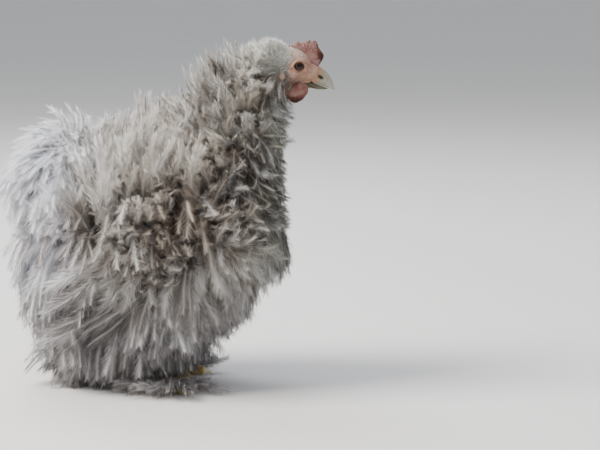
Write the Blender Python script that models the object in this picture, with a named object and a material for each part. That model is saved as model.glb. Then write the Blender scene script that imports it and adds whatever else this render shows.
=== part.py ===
"""A frizzled pekin bantam hen, standing with her head up: a life-size still model.

Metres, +Z up. She faces +X, her left side is at +Y and her soles rest on z = 0.
Every body part is one closed solid. Her feathers are curled vanes that grow out of a core,
which reaches less than half way from the skin to the feather tips.
"""

import math
import random

import bmesh
import bpy
from mathutils import Matrix, Vector

SEED = 11
GAP = 0.0003  # air between two parts that touch
SLIVER = 0.000002  # edges shorter than this are closed up
SHARP_ANGLE = math.radians(40)
SIDES = {"left": 1.0, "right": -1.0}

# The whole hen is shifted by this, so that her outline is centred over the origin.
OUTLINE_SHIFT = Vector((-0.0003, -0.0012, 0.0))

# Torso
TORSO_CENTRE = Vector((-0.016, 0.0, 0.105))
TORSO_HALF = Vector((0.089, 0.060, 0.066))
TORSO_SQUARE = 2.5  # 2 is an ellipse, more is squarer
TORSO_PLUMES = 200
TORSO_CROWDING = 0.92  # less packs the lower feathers closer

# Neck
NECK_BASE = Vector((0.050, 0.0, 0.146))
NECK_BEND = Vector((0.063, 0.0, 0.196))
NECK_TOP = Vector((0.085, 0.0, 0.243))
NECK_RADII = (0.046, 0.024, 0.0165)  # base, middle, top
NECK_WIDTH = 0.96  # side to side, as a share of front to back
NECK_SPAN = (-0.35, 1.10)  # it starts inside the torso and ends inside the head, before the cuts
NECK_ROWS = 7
NECK_ROW_PLUMES = (16, 10)  # lowest row, highest row
NECK_CUT = (Vector((0.040, 0.0, 0.152)), Vector((0.55, 0.0, 0.835)).normalized())
NAPE_PARTING = (Vector((0.010, 0.0, 0.176)), Vector((0.95, 0.0, 0.31)).normalized())

# Head
HEAD_CENTRE = Vector((0.098, 0.0, 0.2485))
HEAD_HALF = Vector((0.0205, 0.0122, 0.0150))
HEAD_PITCH = math.radians(14)
HEAD_CUT = (Vector((0.086, 0.0, 0.2395)), Vector((0.50, 0.0, 0.866)).normalized())
FACE_EDGE = 0.002  # the crown's feathers start this far behind the head's middle
CROWN_PLUMES = 52
CROWN_BLEND = 0.4  # how much the hindmost are like the nape's
EYE_CENTRE = Vector((0.1040, 0.0086, 0.2492))
EYE_RADIUS = 0.0041
LID_RADIUS = 0.0044
LID_THICK = 0.0011
LID_NARROW = 0.86  # height over width
GAPE = Vector((0.1125, 0.0, 0.2375))
BEAK_TIP = Vector((0.1320, 0.0, 0.2308))
BROW = Vector((0.1165, 0.0, 0.2500))
CHIN = Vector((0.1120, 0.0, 0.2322))
BEAK_HALF_WIDTH = 0.0056
UPPER_BULGE = Vector((0.0024, 0.0, 0.0030))
BEAK_HOOK = Vector((0.0003, 0.0, -0.0006))
LOWER_BULGE = Vector((0.0008, 0.0, -0.0012))
LOWER_SHIFT = Vector((-0.0010, 0.0, -0.0006))
LOWER_NARROW = 0.86
NOSTRIL = Vector((0.1212, 0.0039, 0.2405))
NOSTRIL_HALF = Vector((0.0016, 0.0014, 0.0008))
NOSTRIL_TILT = math.radians(35)
COMB_REAR = Vector((0.0985, 0.0, 0.2615))
COMB_FRONT = Vector((0.1210, 0.0, 0.2490))
COMB_HEIGHT = 0.0135
COMB_POINTS = 5
COMB_THICK = 0.0034
COMB_ROOT = 0.004  # how deep it starts, before it is cut to the skull
COMB_RAKE = 0.002
WATTLE_CENTRE = Vector((0.1035, 0.0068, 0.2290))
WATTLE_HALF = Vector((0.0056, 0.0017, 0.0074))
EARLOBE_CENTRE = Vector((0.0920, 0.0118, 0.2425))
EARLOBE_HALF = Vector((0.0028, 0.0016, 0.0042))
LOBE_TILT = 0.2
LOBE_ROOM = 0.0018  # between wattles or earlobes and the feathers round them

# Tail
TAIL_CENTRE = Vector((-0.072, 0.0, 0.156))
TAIL_HALF = Vector((0.034, 0.038, 0.034))
TAIL_PITCH = math.radians(-40)
TAIL_CUT = (Vector((-0.070, 0.0, 0.151)), Vector((-0.70, 0.0, 0.71)).normalized())
TAIL_PARTING = (Vector((-0.050, 0.0, 0.174)), Vector((-0.95, 0.0, 0.31)).normalized())
TAIL_CUSHION_PLUMES = 52
TAIL_FAN_PLUMES = 9
TAIL_FAN_TIERS = 2
TAIL_FAN_SPREAD = math.radians(110)

# Wing, folded against the flank: its long axis runs down and back from the shoulder
WING_CENTRE = Vector((-0.018, 0.0, 0.108))
WING_SLOPE = math.radians(36)
WING_HALF = (0.056, 0.028)  # the fleshy part, along and across
WING_REACH = (0.080, 0.037)  # with its feathers, along and across
WING_TRAIL = 0.018  # how far the feathered shape's middle lies behind the flesh's
WING_DROP = 0.004  # and below it
WING_THICK = 0.008  # more in its middle than at its edge
WING_EDGE = 0.0035
WING_SINK = 0.006  # how deep it starts, before it is cut to the torso
WING_GRID = (4, 16)
WING_ROOT_SINK = 0.6  # share of the wing's thickness that its feathers' roots go into
FLIGHTS = 7
FLIGHT_SLOPE = math.radians(27)
FLIGHT_FAN = math.radians(14)
COVERTS = 5
FRINGES = 6
FRINGE_SLOPE = math.radians(75)
BOWS = 3
BOW_ROWS = 3
TORSO_ROOM = 0.0008  # between the torso's flesh and the feathers that lie over it

# Legs
THIGH_TOP = Vector((-0.008, 0.026, 0.062))
HOCK = Vector((-0.017, 0.028, 0.027))
ANKLE = Vector((-0.008, 0.030, 0.012))
THIGH_RADII = (0.016, 0.009)
THIGH_ROOM = 0.022  # with its feathers
THIGH_CUT_Z = 0.028
SHANK_RADII = (0.0062, 0.0056)
SHANK_CUT_Z = 0.013
TOE_RADIUS = 0.0044
TOE_RISE = 0.0070  # a toe's middle line, where it leaves the ankle
TOES = (  # heading off the middle line (outwards is positive), length from the ankle
    ("middle", math.radians(4), 0.036),
    ("inner", math.radians(-34), 0.028),
    ("outer", math.radians(38), 0.030),
    ("hind", math.radians(176), 0.017),
)
CLAW_LENGTH = 0.0085
CLAW_RADIUS = 0.0021
THIGH_PLUMES = 7
FOOT_PLUMES = 5

FEATHER_FLOOR = 0.0085  # the body's feathers stop this far above the floor
FOOT_FEATHER_LEVELS = (0.0016, 0.0060)  # the lowest and highest middle line of a foot feather
VANE_STEPS = 4
VANE_OUTLINE = (0.50, 0.96, 1.00, 0.70)  # width along a vane, before its pointed tip
ROOT_SINK = 0.12  # share of its length by which a feather's root starts inside the flesh
ROOT_ROOM = 0.004  # no feather of the torso grows closer than this to another part

CREAM = (0.62, 0.59, 0.55)
LAVENDER = (0.60, 0.61, 0.65)
FACE_RED = (0.62, 0.25, 0.19)
COMB_RED = (0.50, 0.09, 0.08)
HORN = (0.72, 0.62, 0.44)
SHANK_YELLOW = (0.74, 0.58, 0.24)
EYE_BROWN = (0.12, 0.05, 0.02)

dice = random.Random(SEED)


class Plume:
    """The size and curl of one kind of feather.

    root and tip each say how far the vane heads away from the body, and how far along its lie.
    A tip that heads against the lie gives the frizzled curl.
    """

    def __init__(self, length, width, root, tip, thick=0.0012):
        self.length = length
        self.width = width
        self.root = root
        self.tip = tip
        self.thick = thick

    def mixed(self, other, share):
        def between(a, b):
            return a + (b - a) * share

        return Plume(
            between(self.length, other.length),
            between(self.width, other.width),
            tuple(map(between, self.root, other.root)),
            tuple(map(between, self.tip, other.tip)),
            between(self.thick, other.thick),
        )

    def sized(self, share):
        return Plume(self.length * share, self.width, self.root, self.tip, self.thick)


SADDLE = Plume(0.048, 0.022, (1.0, 0.3), (1.0, -0.15))
FLANK = Plume(0.054, 0.023, (1.0, 0.25), (0.20, 1.0))
FLUFF = Plume(0.046, 0.022, (1.0, 0.2), (0.7, 0.8))
NAPE = Plume(0.050, 0.016, (1.0, -0.1), (0.45, -1.2))
HACKLE = Plume(0.040, 0.017, (0.85, 0.5), (0.45, 1.0))
THROAT = Plume(0.028, 0.016, (0.75, 0.6), (0.35, 1.0))
CROWN = Plume(0.014, 0.0095, (0.7, 0.9), (0.8, 0.1), 0.0009)
CUSHION = Plume(0.034, 0.021, (1.0, 0.1), (0.45, 1.0))
TAIL_FEATHER = Plume(0.037, 0.021, (1.0, 0.10), (0.5, 0.9), 0.0013)
FLIGHT = Plume(0.066, 0.019, (0.22, 1.0), (0.02, 1.0), 0.0012)
COVERT = Plume(0.040, 0.018, (0.40, 1.0), (0.25, 1.0))
FRINGE = Plume(0.040, 0.020, (0.45, 1.0), (0.15, 1.0))
BOW = Plume(0.030, 0.019, (0.8, 0.7), (1.0, 0.2))
HOCK_FLUFF = Plume(0.026, 0.014, (0.8, 0.5), (0.3, 1.0))
FOOT_FEATHER = Plume(0.034, 0.012, (0.8, 0.2), (1.0, 0.3), 0.0010)


class Egg:
    """A superellipsoid with a centre, half sizes, squareness and pitch about the Y axis.

    grid says how many rings and segments its mesh has.
    """

    def __init__(self, centre, half, square=2.0, pitch=0.0, grid=(8, 12)):
        self.centre = centre
        self.half = half
        self.square = square
        self.turn = Matrix.Rotation(pitch, 3, "Y")
        self.grid = grid

    def level(self, point):
        """1 on the surface, less inside."""
        local = self.turn.transposed() @ (point - self.centre)
        total = sum(abs(local[i] / self.half[i]) ** self.square for i in range(3))
        return total ** (1 / self.square)

    def point(self, heading):
        """Where a ray from the centre leaves the surface."""
        return self.centre + heading / self.level(self.centre + heading)

    def normal(self, point):
        local = self.turn.transposed() @ (point - self.centre)
        slope = Vector(
            math.copysign(abs(local[i] / self.half[i]) ** (self.square - 1), local[i])
            / self.half[i]
            for i in range(3)
        )
        return (self.turn @ slope).normalized()

    def mesh(self, name, proud=0.0):
        """The closed surface, with its poles on its long axis, moved outwards by proud."""
        rings, segments = self.grid
        headings = [Vector((1, 0, 0))]
        for ring in range(1, rings):
            tilt = math.pi * ring / rings
            for segment in range(segments):
                angle = math.tau * (segment + 0.5) / segments
                across = Vector((0, math.cos(angle), math.sin(angle))) * math.sin(tilt)
                headings.append(across + Vector((math.cos(tilt), 0, 0)))
        headings.append(Vector((-1, 0, 0)))
        stretched = (Vector(h[i] * self.half[i] for i in range(3)) for h in headings)
        points = [self.point(self.turn @ heading) for heading in stretched]
        points = [point + self.normal(point) * proud for point in points]
        return closed_mesh(name, points, ball_faces(rings, segments))


def ball_faces(rings, segments):
    """Faces over a pole, rings of segments points, and another pole."""
    last = 1 + (rings - 1) * segments
    faces = []
    for s in range(segments):
        after = (s + 1) % segments
        faces.append((0, 1 + s, 1 + after))
        faces.append((last, last - segments + after, last - segments + s))
        for ring in range(rings - 2):
            a = 1 + ring * segments
            b = a + segments
            faces.append((a + s, b + s, b + after, a + after))
    return faces


def closed_mesh(name, points, faces, collection=None):
    """An object whose faces all point outwards."""
    mesh = bpy.data.meshes.new(name)
    mesh.from_pydata([tuple(p) for p in points], [], faces)
    bm = bmesh.new()
    bm.from_mesh(mesh)
    bmesh.ops.recalc_face_normals(bm, faces=bm.faces)
    if bm.calc_volume(signed=True) < 0:
        bmesh.ops.reverse_faces(bm, faces=bm.faces)
    bm.to_mesh(mesh)
    bm.free()
    made = bpy.data.objects.new(name, mesh)
    (collection or bpy.context.scene.collection).objects.link(made)
    return made


def stacked(name, rings, collection=None):
    """A closed solid through rings of equally many points, with a flat face at each end."""
    count = len(rings[0])
    points = [point for ring in rings for point in ring]
    faces = [tuple(range(count)), tuple(range(len(points) - 1, len(points) - count - 1, -1))]
    for first in range(0, len(points) - count, count):
        for i in range(count):
            after = (i + 1) % count
            faces.append((first + i, first + count + i, first + count + after, first + after))
    return closed_mesh(name, points, faces, collection)


def pointed(name, rings, tip, collection=None):
    """A closed solid through rings of equally many points that ends in one point."""
    count = len(rings[0])
    points = [point for ring in rings for point in ring] + [tip]
    last = len(points) - 1
    faces = [tuple(range(count - 1, -1, -1))]
    for i in range(count):
        after = (i + 1) % count
        faces.append((last - count + i, last - count + after, last))
        for first in range(0, last - count, count):
            faces.append((first + i, first + after, first + count + after, first + count + i))
    return closed_mesh(name, points, faces, collection)


def ring_at(centre, along, radius, segments, width=1.0):
    """A ring of points round a line in the XZ plane or near it."""
    side = Vector((0, 1, 0))
    up = along.cross(side).normalized()
    side = up.cross(along).normalized()
    angles = [math.tau * (i + 0.5) / segments for i in range(segments)]
    return [centre + up * math.cos(a) * radius + side * math.sin(a) * radius * width for a in angles]


def tube(name, path, radii, segments, collection=None):
    rings = []
    for i, (centre, radius) in enumerate(zip(path, radii)):
        along = path[min(i + 1, len(path) - 1)] - path[max(i - 1, 0)]
        rings.append(ring_at(centre, along.normalized(), radius, segments))
    return stacked(name, rings, collection)


def bezier(a, b, c, t):
    return a * (1 - t) ** 2 + b * (2 * t * (1 - t)) + c * t**2


def mirrored(point, side):
    """A point given for the left side, on the side asked for."""
    return Vector((point.x, point.y * side, point.z))


def apply_boolean(target, modifier, used):
    """Applies the Boolean, removes the objects it used and drops loose scraps."""
    bpy.context.view_layer.update()
    graph = bpy.context.evaluated_depsgraph_get()
    result = bpy.data.meshes.new_from_object(target.evaluated_get(graph))
    target.modifiers.remove(modifier)
    target.data = result
    for helper in used:
        bpy.data.objects.remove(helper)
    keep_largest_surface(target)


def cut(target, cutter):
    modifier = target.modifiers.new("cut", "BOOLEAN")
    modifier.operation = "DIFFERENCE"
    modifier.object = cutter
    apply_boolean(target, modifier, [cutter])


def fuse(target, collection):
    """Joins all of a collection's pieces to target, each with its own material."""
    modifier = target.modifiers.new("fuse", "BOOLEAN")
    modifier.operation = "UNION"
    modifier.solver = "MANIFOLD"
    modifier.material_mode = "TRANSFER"
    modifier.operand_type = "COLLECTION"
    modifier.collection = collection
    apply_boolean(target, modifier, list(collection.objects))
    bpy.data.collections.remove(collection)


def keep_largest_surface(target):
    """Leaves only the closed surface that holds the most."""
    bm = bmesh.new()
    bm.from_mesh(target.data)
    bmesh.ops.dissolve_degenerate(bm, dist=SLIVER, edges=bm.edges)
    unseen = set(bm.faces)
    surfaces = []
    while unseen:
        surface = []
        front = [unseen.pop()]
        while front:
            face = front.pop()
            surface.append(face)
            near = {other for edge in face.edges for other in edge.link_faces} & unseen
            unseen -= near
            front.extend(near)
        surfaces.append(surface)

    def reach(surface):
        points = [v.co for face in surface for v in face.verts]
        return math.prod(max(p[i] for p in points) - min(p[i] for p in points) for i in range(3))

    surfaces.sort(key=reach)
    loose = [face for surface in surfaces[:-1] for face in surface]
    bmesh.ops.delete(bm, geom=loose, context="FACES")
    bmesh.ops.delete(bm, geom=[v for v in bm.verts if not v.link_faces], context="VERTS")
    bm.to_mesh(target.data)
    bm.free()


def lobe(centre, half, side):
    """The whole egg of a wattle or an earlobe."""
    return Egg(mirrored(centre, side), half, 2.0, LOBE_TILT, (8, 10))


def half_space(point, normal):
    """A large block whose face lies on the plane and that fills the side the normal points to."""
    size = 0.5
    turn = normal.to_track_quat("Z", "Y").to_matrix()
    corners = [Vector((x, y, z)) for z in (0, size) for x, y in ((-1, -1), (1, -1), (1, 1), (-1, 1))]
    points = [point + turn @ Vector((c.x * size, c.y * size, c.z)) for c in corners]
    return stacked("half_space", (points[:4], points[4:]))


def cut_above(target, plane):
    """Removes what is beyond a plane, and half the gap."""
    cut(target, half_space(plane[0] - plane[1] * GAP / 2, plane[1]))


def cut_below(target, plane):
    cut(target, half_space(plane[0] + plane[1] * GAP / 2, -plane[1]))


def at_height(z):
    return Vector((0, 0, z)), Vector((0, 0, 1))


def distance(plane, point):
    return (point - plane[0]).dot(plane[1])


def clear_of_plane(plane, side):
    """A boundary that keeps a vane on one side of a plane. side is 1 above it and -1 below."""

    def boundary(point):
        return distance(plane, point) * side, plane[1] * side

    return boundary


def clear_of_either(plane, parting):
    """A boundary for a vane that keeps below one plane or else below the other."""

    def boundary(point):
        room, nearest = max((-distance(each, point), each) for each in (plane, parting))
        return room, -nearest[1]

    return boundary


def wing_place(point):
    """Where a point lies on a wing: along it towards the tip, and across it upwards."""
    offset = point - WING_CENTRE
    along = -offset.x * math.cos(WING_SLOPE) - offset.z * math.sin(WING_SLOPE)
    across = -offset.x * math.sin(WING_SLOPE) + offset.z * math.cos(WING_SLOPE)
    return along, across


def wing_point(along, across):
    """The reverse of wing_place, on the body's middle plane."""
    x = -along * math.cos(WING_SLOPE) - across * math.sin(WING_SLOPE)
    z = -along * math.sin(WING_SLOPE) + across * math.cos(WING_SLOPE)
    return WING_CENTRE + Vector((x, 0, z))


def clear_of_wing(side):
    """A boundary round the wing's territory. side is 1 to stay outside it and -1 inside."""
    long_half, short_half = WING_REACH

    def boundary(point):
        along, across = wing_place(point)
        along -= WING_TRAIL
        across += WING_DROP
        level = math.hypot(along / long_half, across / short_half)
        slope = (along / long_half**2 / level, across / short_half**2 / level)
        steep = math.hypot(*slope)
        if side > 0 and abs(point.y) < TORSO_HALF.y * 0.35:
            return 1.0, Vector((0, 0, 1))
        away = wing_point(slope[0], slope[1]) - WING_CENTRE
        return (level - 1) / steep * side, away.normalized() * side

    return boundary


def clear_of_thigh(side):
    """A boundary round both thighs and what is between them.

    side is 1 to stay outside it and -1 inside.
    """
    middle = (THIGH_TOP + HOCK) / 2

    def boundary(point):
        beside = max(abs(point.y) - middle.y, 0)
        offset = Vector((point.x - middle.x, math.copysign(beside, point.y), 0))
        if point.z > THIGH_TOP.z or offset.length == 0:
            return 1.0, Vector((0, 0, 1))
        return (offset.length - THIGH_ROOM) * side, offset.normalized() * side

    return boundary


def clear_of_egg(egg, margin):
    """A boundary round an egg, for vanes that lie over another part."""

    def boundary(point):
        level = egg.level(point)
        return (point - egg.centre).length * (1 - 1 / level) - margin, egg.normal(point)

    return boundary


def vane(root, normal, lie, plume, boundaries, collection, sink=None):
    """One feather: a tapered strip with a raised shaft that curls from its root to its tip."""
    swing = Matrix.Rotation(dice.uniform(-0.30, 0.30), 3, normal)
    lie = swing @ lie
    side = lie.cross(normal).normalized()
    length = plume.length * dice.uniform(0.86, 1.10)
    half_width = plume.width / 2 * dice.uniform(0.90, 1.08)
    point = root - normal * (sink or plume.length * ROOT_SINK)
    path = [point]
    for step in range(VANE_STEPS):
        share = (step + 0.5) / VANE_STEPS
        out = plume.root[0] + (plume.tip[0] - plume.root[0]) * share
        along = plume.root[1] + (plume.tip[1] - plume.root[1]) * share
        heading = (normal * out + lie * along).normalized()
        point = point + heading * (length / VANE_STEPS)
        reach = half_width * VANE_OUTLINE[min(step + 1, VANE_STEPS - 1)]
        for boundary in boundaries * 3:
            room, away = boundary(point)
            needed = abs(side.dot(away)) * reach + plume.thick + 0.0008
            if room < needed:
                point = point + away * (needed - room)
        path.append(point)
    rings = []
    for step in range(VANE_STEPS):
        before = path[max(step - 1, 0)]
        heading = (path[step + 1] - before).normalized()
        ridge = side.cross(heading).normalized()
        if step == 0:
            ridge = side.cross(normal).normalized()
        half = side * (half_width * VANE_OUTLINE[step])
        rings.append((path[step] - half, path[step] + half, path[step] + ridge * plume.thick))
    return pointed("vane", rings, path[-1], collection)


def flat_lie(direction, normal):
    """The part of a direction that lies along the surface."""
    flat = direction - normal * direction.dot(normal)
    if flat.length < 1e-4:
        flat = Vector((-1, 0, 0)) - normal * -normal.x
    return flat.normalized()


def even_headings(count, crowding=1.0):
    """Headings spread round a ball, on a spiral from +Z to -Z.

    Crowding under 1 packs the lower ones closer.
    """
    golden = math.pi * (3 - math.sqrt(5))
    for i in range(count):
        z = 1 - 2 * ((i + 0.5) / count) ** crowding
        across = math.sqrt(1 - z * z)
        yield Vector((across * math.cos(golden * i), across * math.sin(golden * i), z))


def new_pieces():
    """A collection for pieces that will be fused."""
    made = bpy.data.collections.new("pieces")
    bpy.context.scene.collection.children.link(made)
    return made


def paint(pieces, name, colour, roughness=0.8):
    """Gives the pieces one new material."""
    material = bpy.data.materials.new(name)
    material.use_nodes = True
    shader = material.node_tree.nodes["Principled BSDF"]
    shader.inputs["Base Color"].default_value = (*colour, 1)
    shader.inputs["Roughness"].default_value = roughness
    for piece in pieces:
        piece.data.materials.append(material)


def plume_over(body, plumage, colour):
    """Paints a body and its feathers alike and makes them one."""
    paint([body, *plumage.objects], body.name, colour)
    fuse(body, plumage)


def finish(body, origin):
    """Smooths a part's round faces and puts its origin at its natural place."""
    body.data.shade_smooth()
    body.data.set_sharp_from_angle(angle=SHARP_ANGLE)
    body.data.transform(Matrix.Translation(-origin))
    body.location = origin
    return body


TORSO = Egg(TORSO_CENTRE, TORSO_HALF, TORSO_SQUARE, 0.0, (12, 20))
HEAD = Egg(HEAD_CENTRE, HEAD_HALF, 2.15, HEAD_PITCH, (12, 18))
TAIL = Egg(TAIL_CENTRE, TAIL_HALF, 2.0, TAIL_PITCH, (9, 14))


def body_plume(normal):
    """The kind of feather that grows where the torso faces this way."""
    if normal.z > 0:
        plume = FLANK.mixed(SADDLE, normal.z**1.5)
    else:
        plume = FLANK.mixed(FLUFF, (-normal.z) ** 1.5)
    low = max(-normal.z, 0)
    return plume.sized(1 - 0.28 * abs(normal.x) + 0.6 * max(-normal.x, 0) * low)


def torso():
    body = TORSO.mesh("torso")
    cut_above(body, NECK_CUT)
    cut_above(body, TAIL_CUT)
    boundaries = (
        clear_of_either(NECK_CUT, NAPE_PARTING),
        clear_of_either(TAIL_CUT, TAIL_PARTING),
        clear_of_wing(1),
        clear_of_thigh(1),
        clear_of_plane(at_height(FEATHER_FLOOR), 1),
    )
    plumage = new_pieces()
    for heading in even_headings(TORSO_PLUMES, TORSO_CROWDING):
        root = TORSO.point(heading)
        if min(boundary(root)[0] for boundary in boundaries) < ROOT_ROOM:
            continue
        normal = TORSO.normal(root)
        lie = flat_lie(Vector((-0.3, 0, -1)), normal)
        vane(root, normal, lie, body_plume(normal), boundaries, plumage)
    plume_over(body, plumage, CREAM)
    return finish(body, TORSO_CENTRE)


def neck_centre(t):
    return bezier(NECK_BASE, NECK_BEND, NECK_TOP, t)


def neck_ring(t, segments):
    """Points round the neck at a share of its length, starting at its back."""
    step = 0.02
    along = (neck_centre(t + step) - neck_centre(t - step)).normalized()
    low, middle, high = NECK_RADII
    radius = bezier(Vector((low, 0)), Vector((middle, 0)), Vector((high, 0)), t).x
    return ring_at(neck_centre(t), -along, radius, segments, NECK_WIDTH), along


def neck():
    first, last = NECK_SPAN
    stations = 8
    rings = [neck_ring(first + (last - first) * i / stations, 18)[0] for i in range(stations + 1)]
    body = stacked("neck", rings)
    cut_below(body, NECK_CUT)
    cut_below(body, NAPE_PARTING)
    cut_above(body, HEAD_CUT)
    boundaries = [
        clear_of_plane(NECK_CUT, 1),
        clear_of_plane(NAPE_PARTING, 1),
        clear_of_plane(HEAD_CUT, -1),
    ]
    for side in SIDES.values():
        boundaries.append(clear_of_egg(lobe(WATTLE_CENTRE, WATTLE_HALF, side), LOBE_ROOM))
    plumage = new_pieces()
    for row in range(NECK_ROWS):
        share = row / (NECK_ROWS - 1)
        low, high = NECK_ROW_PLUMES
        count = round(low + (high - low) * share)
        roots, along = neck_ring(-0.14 + 1.08 * share, count * 2)
        centre = sum(roots, Vector()) / len(roots)
        for root in roots[row % 2 :: 2]:
            normal = (root - centre).normalized()
            if min(boundary(root)[0] for boundary in boundaries) < ROOT_ROOM / 2:
                continue
            plume = HACKLE.mixed(NAPE, max(-normal.x, 0)).mixed(THROAT, max(normal.x, 0) ** 2)
            lie = flat_lie(Vector((0.45 * abs(normal.y), 0, 0)) - along, normal)
            vane(root, normal, lie, plume, boundaries, plumage)
    plume_over(body, plumage, CREAM)
    return finish(body, NECK_BASE)


def tail():
    """The cushion of a pekin: soft feathers all over, with two fans of tail feathers at its end."""
    body = TAIL.mesh("tail")
    cut_below(body, TAIL_CUT)
    cut_below(body, TAIL_PARTING)
    boundaries = (clear_of_plane(TAIL_CUT, 1), clear_of_plane(TAIL_PARTING, 1))
    plumage = new_pieces()
    for heading in even_headings(TAIL_CUSHION_PLUMES):
        root = TAIL.point(heading)
        if boundaries[0](root)[0] < ROOT_ROOM / 2:
            continue
        normal = TAIL.normal(root)
        lie = flat_lie(Vector((-0.45, 0, -1)), normal)
        vane(root, normal, lie, CUSHION.sized(1 - 0.25 * max(normal.z, 0)), boundaries, plumage)
    axis = TAIL_CUT[1]
    upright = axis.cross(Vector((0, 1, 0)))
    for tier in range(TAIL_FAN_TIERS):
        for i in range(TAIL_FAN_PLUMES):
            spread = TAIL_FAN_SPREAD * (2 * (i + tier / 2) / (TAIL_FAN_PLUMES - 0.5) - 1)
            across = Vector((0, math.sin(spread), 0)) + upright * math.cos(spread)
            normal = (axis * (0.9 - 0.45 * tier) + across * (0.45 + 0.25 * tier)).normalized()
            lie = flat_lie(Vector((-0.2, 0, -1)), normal)
            plume = TAIL_FEATHER.sized(1 - 0.14 * tier)
            vane(TAIL.point(normal), normal, lie, plume, boundaries, plumage)
    plume_over(body, plumage, LAVENDER)
    return finish(body, TAIL_CENTRE)


def flank_y(place):
    """How far out the torso's side is at a place seen from the side."""
    offset = place - TORSO_CENTRE
    used = sum(abs(offset[i] / TORSO_HALF[i]) ** TORSO_SQUARE for i in (0, 2))
    return TORSO_HALF.y * max(1 - used, 0.02) ** (1 / TORSO_SQUARE)


def wing_thickness(share):
    """How far the fleshy wing stands off the flank, at a share of the way to its edge."""
    return WING_THICK * math.sqrt(max(1 - share**2.5, 0)) + WING_EDGE


def wing_core(side_name):
    """The fleshy wing: a lens that lies against the torso's side."""
    side = SIDES[side_name]
    rings, segments = WING_GRID
    outer = []
    inner = []
    for ring in range(rings + 1):
        share = ring / rings
        for segment in range(segments if ring else 1):
            angle = math.tau * segment / segments
            along = WING_HALF[0] * share * math.cos(angle)
            across = WING_HALF[1] * share * math.sin(angle)
            place = wing_point(along, across)
            y = flank_y(place)
            outer.append(Vector((place.x, (y + wing_thickness(share)) * side, place.z)))
            inner.append(Vector((place.x, (y - WING_SINK) * side, place.z)))
    points = list(outer)
    for ring in range(rings, 0, -1):
        last = 1 + ring * segments
        points += inner[last - segments : last]
    points.append(inner[0])
    body = closed_mesh(f"wing_{side_name}", points, ball_faces(2 * rings + 1, segments))
    cut(body, TORSO.mesh("fit", GAP))
    return body


def wing_plumes():
    """Each feather's place along the wing, its place across as a share, its kind and its slope."""
    for i in range(FLIGHTS):
        share = i / (FLIGHTS - 1)
        slope = FLIGHT_SLOPE + FLIGHT_FAN * (0.5 - share)
        yield 0.026 - 0.020 * share, -0.80 + 1.45 * share, FLIGHT.sized(1.05 - 0.30 * share), slope
    for i in range(COVERTS):
        share = i / (COVERTS - 1)
        yield 0.002 - 0.012 * share, -0.75 + 1.5 * share, COVERT, WING_SLOPE
    for i in range(FRINGES):
        yield -0.040 + 0.014 * i, -0.88, FRINGE, FRINGE_SLOPE
    for row in range(BOW_ROWS):
        for i in range(BOWS):
            yield -0.050 + 0.017 * row + 0.004 * (i % 2), -0.60 + 0.60 * i, BOW, WING_SLOPE


def wing(side_name):
    side = SIDES[side_name]
    body = wing_core(side_name)
    boundaries = (clear_of_wing(-1), clear_of_egg(TORSO, TORSO_ROOM))
    plumage = new_pieces()
    for along, across, plume, slope in wing_plumes():
        edge = 0.95 * WING_HALF[0] * math.sqrt(1 - across**2)
        along = min(along, edge)
        place = wing_point(along, across * WING_HALF[1])
        thick = wing_thickness(min(math.hypot(along / WING_HALF[0], across), 0.97))
        root = Vector((place.x, (flank_y(place) + thick) * side, place.z))
        lie = Vector((-math.cos(slope), 0, -math.sin(slope)))
        vane(root, Vector((0, side, 0)), lie, plume, boundaries, plumage, thick * WING_ROOT_SINK)
    plume_over(body, plumage, CREAM)
    shoulder = wing_point(-WING_HALF[0], 0)
    return finish(body, Vector((shoulder.x, flank_y(WING_CENTRE) * side, shoulder.z)))


def head():
    """The bare face, with lids round the eyes, and a crown of small feathers behind it."""
    body = HEAD.mesh("head")
    cut_below(body, HEAD_CUT)
    lids = new_pieces()
    plumage = new_pieces()
    boundaries = [clear_of_plane(HEAD_CUT, 1)]
    for side in SIDES.values():
        lid_ring(side, lids)
        boundaries.append(clear_of_egg(lobe(EARLOBE_CENTRE, EARLOBE_HALF, side), LOBE_ROOM))
    for heading in even_headings(CROWN_PLUMES):
        root = HEAD.point(heading)
        behind = (HEAD_CENTRE.x - FACE_EDGE - root.x) / HEAD_HALF.x
        if behind < 0 or min(boundary(root)[0] for boundary in boundaries) < ROOT_ROOM * 0.75:
            continue
        normal = HEAD.normal(root)
        lie = flat_lie(Vector((-1, 0, -0.3)), normal)
        plume = CROWN.mixed(NAPE, min(behind, 1) * CROWN_BLEND)
        vane(root, normal, lie, plume, boundaries, plumage)
    paint([body, *lids.objects], body.name, FACE_RED, 0.6)
    paint(plumage.objects, "crown_feathers", CREAM)
    fuse(body, lids)
    fuse(body, plumage)
    for side in SIDES.values():
        cut(body, eyeball(side).mesh("socket", GAP))
    return finish(body, HEAD_CENTRE)


def eyeball(side):
    return Egg(mirrored(EYE_CENTRE, side), Vector((1, 1, 1)) * EYE_RADIUS)


def lid_ring(side, collection):
    """The lids: a low ring of skin round one eye."""
    centre = mirrored(EYE_CENTRE, side)
    normal = HEAD.normal(HEAD.point(centre - HEAD_CENTRE))
    first = normal.cross(Vector((0, 0, 1))).normalized()
    second = normal.cross(first)
    middle = centre + normal * (EYE_RADIUS * 0.55)
    around = 12
    section = 4
    points = []
    faces = []
    for i in range(around):
        angle = math.tau * i / around
        out = first * math.cos(angle) + second * math.sin(angle) * LID_NARROW
        for j in range(section):
            turn = math.tau * j / section
            shift = out * math.cos(turn) + normal * math.sin(turn)
            points.append(middle + out * LID_RADIUS + shift * LID_THICK)
            a = i * section
            b = (i + 1) % around * section
            k = (j + 1) % section
            faces.append((a + j, b + j, b + k, a + k))
    closed_mesh("lid", points, faces, collection)


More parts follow.
